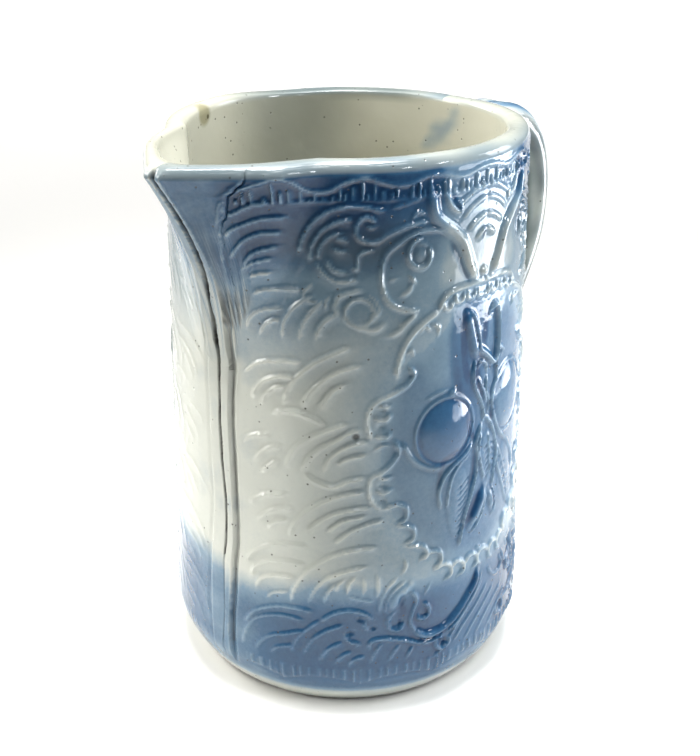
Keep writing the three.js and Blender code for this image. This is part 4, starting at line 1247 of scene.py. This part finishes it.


# How blue the glaze is at a place on the outside, from 0 to 1: the cobalt that the airbrush left, with
# painted shade along some recesses and paler painted sheen and reflection towards the right.
def blueAmountAt(angle, z, side):
    wobble = 2.4 * wallWaves(angle, z, side, 20.0, 0.3)
    folded = np.minimum(angle, 2 * foldAngle - angle)
    onSpout = smoothStep((15 - folded) / 6)
    topFrom = lerp(spray["topFrom"], spray["topFromOnSpout"], onSpout)
    high = lerp(spray["top"], spray["topOnSpout"], onSpout)
    high *= smoothStep((z - topFrom + wobble * 1.6) / spray["topFade"])
    high *= lerp(1.0, lerp(0.66, 0.86, smoothStep((z - 196) / 8)), smoothStep((folded - 46) / 18))
    haze = lerp(spray["haze"], spray["hazeOnSpout"], onSpout)
    haze *= smoothStep((z - spray["hazeFrom"] + wobble) / spray["hazeFade"])
    footTo = spray["footTo"] + 4 * smoothStep((folded - 22) / 10) - 2 * smoothStep((8 - folded) / 5)
    if side < 0:
        footTo += 7 * smoothStep((50 - angle) / 20)
    low = spray["foot"] * smoothStep((footTo - z + wobble) / spray["footFade"])
    low *= smoothStep((z - 4 + 0.4 * wobble) / 9) * lerp(0.64, 1.0, smoothStep((folded - 4) / 22))
    # The foot band is paler near the bottom; its paling towards the right is a painted reflection of the
    # bright floor.
    low *= lerp(1.0, 0.86, smoothStep((24 - z) / 10)) * lerp(1.0, 0.8, smoothStep((folded - 68) / 12))
    medallion = sum(cloudAt(angle, z, name) for name in ("field", "stem", "thin", "fruit"))
    edge = spray["edge"] * smoothStep((folded - 28) / 26)
    amount = np.maximum.reduce([high, haze, low, medallion, cloudAt(folded, z, "scroll"), edge])
    # Paler above the right of the medallion: partly thinner cobalt, partly a painted sheen standing in for a
    # reflection.
    amount *= lerp(1.0, 0.55, smoothStep((folded - 67) / 5) * smoothStep((z - 166) / 10))
    # Painted shade: recesses beside the stems and scrolls made darker, along with cobalt run thick.
    darkened = np.zeros(len(angle))
    for stops, halfWidth, dark in darkStrokes:
        stroke(darkened, angle, z, stops, halfWidth, dark)
    besideStrap = smoothStep((6.5 + 0.3 * (z - 145) - folded) / 2) * smoothStep((z - 141) / 8)
    strokes = unevenness(angle * 6.0, side * 3.0, z * 0.13, 1.0, 2.2)
    brushed = besideStrap * smoothStep((205 - z) / 25) * strokes
    amount += darkened + 0.26 * brushed + 0.1 * onSpout * wallWaves(angle, z, side, 4.5, 1.4)
    ragTop = 0.8 * wallWaves(angle, 0.0, side, 3.0, 2.6)
    amount *= 1 - 0.3 * smoothStep((z - 211.6 + ragTop) / 1.4)
    farSide = lerp(0.95, 0.7, smoothStep((z - 60) / 40))
    return np.clip(amount * (1.0 if side > 0 else farSide), 0, 1)


# How grey and dark the glaze is made, from 0 to 1: painted shade on the flank beside the medallion, down the
# keel and inside the mouth, and darker at the foot and on the far rim.
def greyAndShadeAt(angle, z, side, radius):
    folded = np.minimum(angle, 2 * foldAngle - angle)
    # Painted shade on the flank beside the medallion, where the wall turns from the light; it reaches less
    # far into the medallion's field.
    onFruit = cloudShare(angle, z, 73, 116, 11, 13) < 1
    inField = np.where(onFruit, 0.1, 0.7) * smoothStep((82 - angle) / 14)
    outOfField = smoothStep((cloudShare(angle, z, *clouds["field"][:4]) - 0.95) / 0.2)
    flank = 0.46 * smoothStep((folded - 15) / 20) * smoothStep((z - 48) / 22) * smoothStep((205 - z) / 20)
    flank *= lerp(inField, 1.0, outOfField)
    # Painted shadow down the keel under the spout.
    keel = 0.22 * smoothStep((9 - folded) / 3) * smoothStep((z - 122) / 20) * smoothStep((205 - z) / 15)
    bottom = 0.3 * smoothStep((7 - z) / 5)
    turn = np.where(side > 0, 360 - angle, angle)
    # Painted shade inside the mouth, on the far wall that the light doesn't reach.
    mouth = smoothStep((turn - 78) / 34) * smoothStep((205 - turn) / 20)
    mouth *= lerp(1.0, 0.05, smoothStep((turn - 122) / 30)) * lerp(0.4, 0.58, smoothStep((z - 140) / 20))
    farRim = 0.65 * smoothStep((angle - 90) / 30) * smoothStep((178 - angle) / 20) * smoothStep((z - 208) / 5)
    inside = np.maximum(mouth, farRim * (side < 0))
    return np.where(radius < 62.3, inside, np.maximum.reduce([flank, keel, bottom]))


# Where dirt and iron sit in the rough groove and in the brushed wedge above it, with painted shade in the
# valley beside the front strip, from 0 to 1.
def strapGrimeAndShade(angle, z, side, radius):
    across = np.radians(angle) * radius
    middle = side * np.interp(z, strap["at"], strap["groove"])
    width = np.interp(z, strap["at"], strap["grooveHalf"]) * lerp(1.2, 0.95, smoothStep((z - 165) / 10))
    patchy = smoothStep(0.55 + 0.9 * unevenness(z, 0.0, z * 0.4, 2.2, 0.6))
    groove = np.exp(-((across - middle) / width) ** 4) * lerp(0.7, 1.0, patchy) * (0.3 + 0.7 * (z > 62))
    past = across - strapEdge(z, side)
    # Painted shade in the valley along the strip's outer edge.
    blotchy = smoothStep(0.6 + 0.6 * unevenness(across * 2.0, z * 0.8, 0.0, 1.6, 1.7))
    valley = 0.6 * np.exp(-((past - 0.4 * strap["valley"]) / 0.7) ** 2) * lerp(0.6, 1.0, blotchy)
    valley *= smoothStep((160 - z) / 12)
    wedge = smoothStep((0.36 * (z - 138) - past) / 1.4) * smoothStep((past + 0.8) / 0.8)
    wedge *= smoothStep((z - 139) / 5) * smoothStep((176 - z) / 14)
    streaks = smoothStep(0.35 + 1.3 * unevenness(across * 3.4, 0.0, z * 0.24, 1.0, 1.7))
    nearOnly = 1.0 if side > 0 else 0.0
    return np.maximum.reduce([groove, nearOnly * valley, nearOnly * 0.6 * wedge * streaks]) * (z > 24)


# Unglazed fired clay: buff, matt and finely gritty.
def makeBareClay(name):
    material, tree = newMaterial(name)
    place = addNode(tree, "TexCoord")
    grit = addNode(tree, "TexNoise", None,
                   {"Vector": (place, "Object"), "Scale": 1 / (grain["grit"] * mm), "Detail": 4.0})
    tone = addNode(tree, "Mix", {"data_type": "RGBA"},
                   {"Factor": (grit, "Fac"), 6: linear(glaze["bare"]), 7: linear(glaze["bareDark"])})
    rough = addNode(tree, "Bump", None, {"Strength": 0.4, "Distance": 0.0003, "Height": (grit, "Fac")})
    shader = addNode(tree, "BsdfPrincipled", None,
                     {"Base Color": (tone, 2), "Roughness": 0.85, "Normal": (rough, 0)})
    addNode(tree, "OutputMaterial", None, {"Surface": (shader, 0)})
    return material


glazeBody = makeGlaze("Stoneware glaze, cobalt sprayed")
bareClay = makeBareClay("Bare fired stoneware")


def readValues(source, key, size=1):
    values = np.empty(len(source) * size)
    source.foreach_get(key, values)
    return values.reshape(-1, size) if size > 1 else values


# A cloud of blue that was smeared over the inside of the wall near the handle, and a touch of it on the rim.
def smearAt(angle, z, side, radius):
    turn = side * (180 - angle)
    place = np.hypot((turn - 0.8 * (z - 200.4)) / 7, (z - 200.4) / 12)
    touch = np.hypot((angle - 163) / 6, (z - 215) / 2.5) + (9 if side > 0 else 0)
    cloudy = 0.35 * unevenness(turn * 1.2, 0.0, z * 1.0, 2.6, 0.2)
    return 0.65 * smoothStep((1.05 - np.minimum(place, touch) + cloudy) / 0.9) * (radius < 64)


# Writes what each point of a piece is covered with, and the shade, sheen and reflection painted on it, for
# the glaze to read.
def paint(piece, onHandle):
    mesh = piece.data
    points = readValues(mesh.vertices, "co", 3) / mm
    side = 1 if points[:, 1].mean() > 0 else -1
    angle = np.degrees(np.arctan2(np.abs(points[:, 1]), points[:, 0]))
    angle = np.where((angle < 15) & (side * points[:, 1] < 0), -angle, angle)
    z = points[:, 2]
    radius = np.hypot(points[:, 0], points[:, 1])
    values = {key: np.zeros(len(z)) for key in ("cavity", "inside")}
    for key in values.keys() & mesh.attributes.keys():
        values[key] = readValues(mesh.attributes[key].data, "value")
    if onHandle:
        normals = readValues(mesh.vertices, "normal", 3)
        streak = unevenness(points[:, 0] * 0.35, points[:, 1] * 1.6, z * 0.35, 2.6, 0.9)
        cobalt = 0.14 + 0.3 * smoothStep((z - 150) / 50) * smoothStep(0.3 + streak) + 0.1 * streak
        # Painted shade: the handle's faces turned away from the top and front are made greyer and darker.
        outward = 0.7 * (normals[:, 2] - normals[:, 0])
        ash = np.clip(smoothStep((0.35 - outward) / 0.3) * (0.7 + 0.35 * streak), 0, 1)
        soiled = 0.25 * ash * smoothStep(0.5 + streak)
    else:
        cobalt = blueAmountAt(angle, z, side)
        ash = greyAndShadeAt(angle, z, side, radius)
        soiled = strapGrimeAndShade(angle, z, side, radius)
    # A dark band painted round the bottom of the foot: painted contact shadow where the foot meets the floor.
    footContactShadow = smoothStep((1.5 - z) / 0.7) * (radius > body["slabRadius"] + 0.5)
    folded = np.minimum(angle, 2 * foldAngle - angle)
    inTopWaves = smoothStep((z - 172) / 10) * smoothStep((54 - folded) / 8)
    thinned = np.maximum(lerp(2.4, 5.5, inTopWaves) * values["cavity"], lerp(-0.75, -1.5, inTopWaves))
    pooled = lerp(0.1, 1.2, smoothStep((folded - 50) / 16)) * values["cavity"]
    setValues(mesh, "cobalt", cobalt * smoothStep((z - 2.5) / 10))
    setValues(mesh, "ash", ash)
    setValues(mesh, "soiled", np.maximum(footContactShadow, soiled * (1 - values["inside"])))
    setValues(mesh, "cavity", np.where(values["cavity"] < 0, thinned, pooled))
    setValues(mesh, "smear", smearAt(angle, z, side, radius))
    mesh.materials.append(glazeBody)


# The slab is glazed on the floor of the pitcher and left bare underneath.
def bareUnderneath(piece):
    piece.data.materials.append(bareClay)
    for face in piece.data.polygons:
        face.material_index = 1 if face.center.z < 0.5 * body["floor"] * mm else 0


for piece in bodyPieces + spoutPieces + [base]:
    paint(piece, False)
bareUnderneath(base)
for piece in (grip, upperLute, lowerLute):
    paint(piece, True)
print("glazes made")

# The paper floor, the lights and the camera. Camera places are in millimetres, and the floor is in metres.
stage = {
    "floorRadius": 4.0,
    "floorSides": 96,
    "floorColour": "#f4f3f0",
    "worldColour": "#eef1f5",
    "worldStrength": 0.04,
    "cameraPlace": (343.63, 298.71, 319.5),
    "cameraAim": (1.69, 3.37, 112.47),
    "cameraRoll": 0.15,
    "focalPixels": 1250.0,
    "imageHeight": 756.0,
    "sensorWidth": 36.0,
}
# Softboxes with grids, as (name, place, aim, size, watts, colour, spread), in metres and degrees. Those
# overhead, behind and over the floor keep the paper white. The pitcher is lit from its left and from behind
# on its right, where two low strips make the pale reflection beside the handle, and hardly from the front.
lamps = [
    ("overhead softbox", (-0.03, 0.0, 0.95), (-0.03, -0.01, 0), (0.4, 0.4), 1.45, "#ffffff", 54),
    ("backdrop softbox", (-1.7, -1.5, 2.0), (-1.7, -1.5, 0), (2.6, 2.6), 60.0, "#ffffff", 100),
    ("back floor softbox", (-0.75, -0.2, 0.9), (-0.75, -0.2, 0), (0.5, 0.5), 0.3, "#ffffff", 50),
    ("floor softbox", (0.1, 0.5, 0.9), (0.06, 0.2, 0), (0.3, 0.3), 0.25, "#ffffff", 40),
    ("front left softbox", (0.79, -0.76, 0.55), (0, 0, 0.12), (0.6, 0.6), 0.68, "#fffdf8", 38),
    ("left softbox", (0.1, -1.05, 0.55), (0, 0, 0.12), (0.8, 0.8), 1.25, "#fffdf8", 40),
    ("high left softbox", (0.5, -0.6, 1.0), (0, 0, 0.12), (0.4, 0.4), 0.3, "#fffdf8", 42),
    ("right softbox", (-0.85, 0.6, 0.45), (0, 0, 0.1), (0.45, 0.5), 0.7, "#f4f9ff", 50),
    ("high right lamp", (-0.2, 0.95, 0.6), (0, 0, 0.12), (0.12, 0.12), 0.14, "#f6faff", 50),
    ("right lamp", (0.2, 0.9, 0.5), (0, 0, 0.14), (0.09, 0.09), 0.06, "#f6faff", 50),
    ("low right strip", (-0.34, 0.31, 0.08), (0.0, 0.07, 0.17), (0.3, 0.15), 0.16, "#f4f9ff", 42),
    ("lower right strip", (-0.2, 0.425, 0.06), (0.0, 0.07, 0.17), (0.11, 0.13), 0.017, "#f4f9ff", 42),
    ("high front softbox", (0.66, 0.5, 0.95), (0, 0, 0.12), (0.2, 0.2), 0.05, "#fbfcff", 50),
]


def makeFloor():
    turn = np.linspace(0, 2 * np.pi, stage["floorSides"], endpoint=False)
    radius = stage["floorRadius"] / mm
    points = np.stack([radius * np.cos(turn), radius * np.sin(turn), np.zeros(len(turn))], axis=-1)
    floor = makeMesh("floor", points, [list(range(len(turn)))])
    material, tree = newMaterial("White paper sweep")
    shader = addNode(tree, "BsdfPrincipled", None,
                     {"Base Color": linear(stage["floorColour"]), "Roughness": 0.9})
    addNode(tree, "OutputMaterial", None, {"Surface": (shader, 0)})
    floor.data.materials.append(material)


def addLight(name, place, aim, size, watts, colour, spread):
    light = bpy.data.lights.new(name, "AREA")
    light.spread = math.radians(spread)
    light.shape = "RECTANGLE"
    light.size, light.size_y = size
    light.energy = watts
    light.color = linear(colour)[:3]
    lamp = bpy.data.objects.new(name, light)
    lamp.location = Vector(place)
    lamp.rotation_euler = (Vector(aim) - Vector(place)).to_track_quat("-Z", "Y").to_euler()
    bpy.context.scene.collection.objects.link(lamp)


def makeCamera():
    lens = bpy.data.cameras.new("camera")
    lens.sensor_width = stage["sensorWidth"]
    lens.lens = stage["focalPixels"] * stage["sensorWidth"] / stage["imageHeight"]
    camera = bpy.data.objects.new("camera", lens)
    place = Vector(stage["cameraPlace"]) * mm
    aim = Vector(stage["cameraAim"]) * mm
    roll = Quaternion((0, 0, 1), math.radians(stage["cameraRoll"]))
    camera.rotation_mode = "QUATERNION"
    camera.rotation_quaternion = (aim - place).to_track_quat("-Z", "Y") @ roll
    camera.location = place
    bpy.context.scene.collection.objects.link(camera)
    bpy.context.scene.camera = camera


makeFloor()
for lamp in lamps:
    addLight(*lamp)
world = bpy.data.worlds.new("studio")
world.use_nodes = True
background = world.node_tree.nodes["Background"]
background.inputs["Color"].default_value = linear(stage["worldColour"])
background.inputs["Strength"].default_value = stage["worldStrength"]
bpy.context.scene.world = world
bpy.context.scene.view_settings.view_transform = "Standard"
makeCamera()
print("stage set")
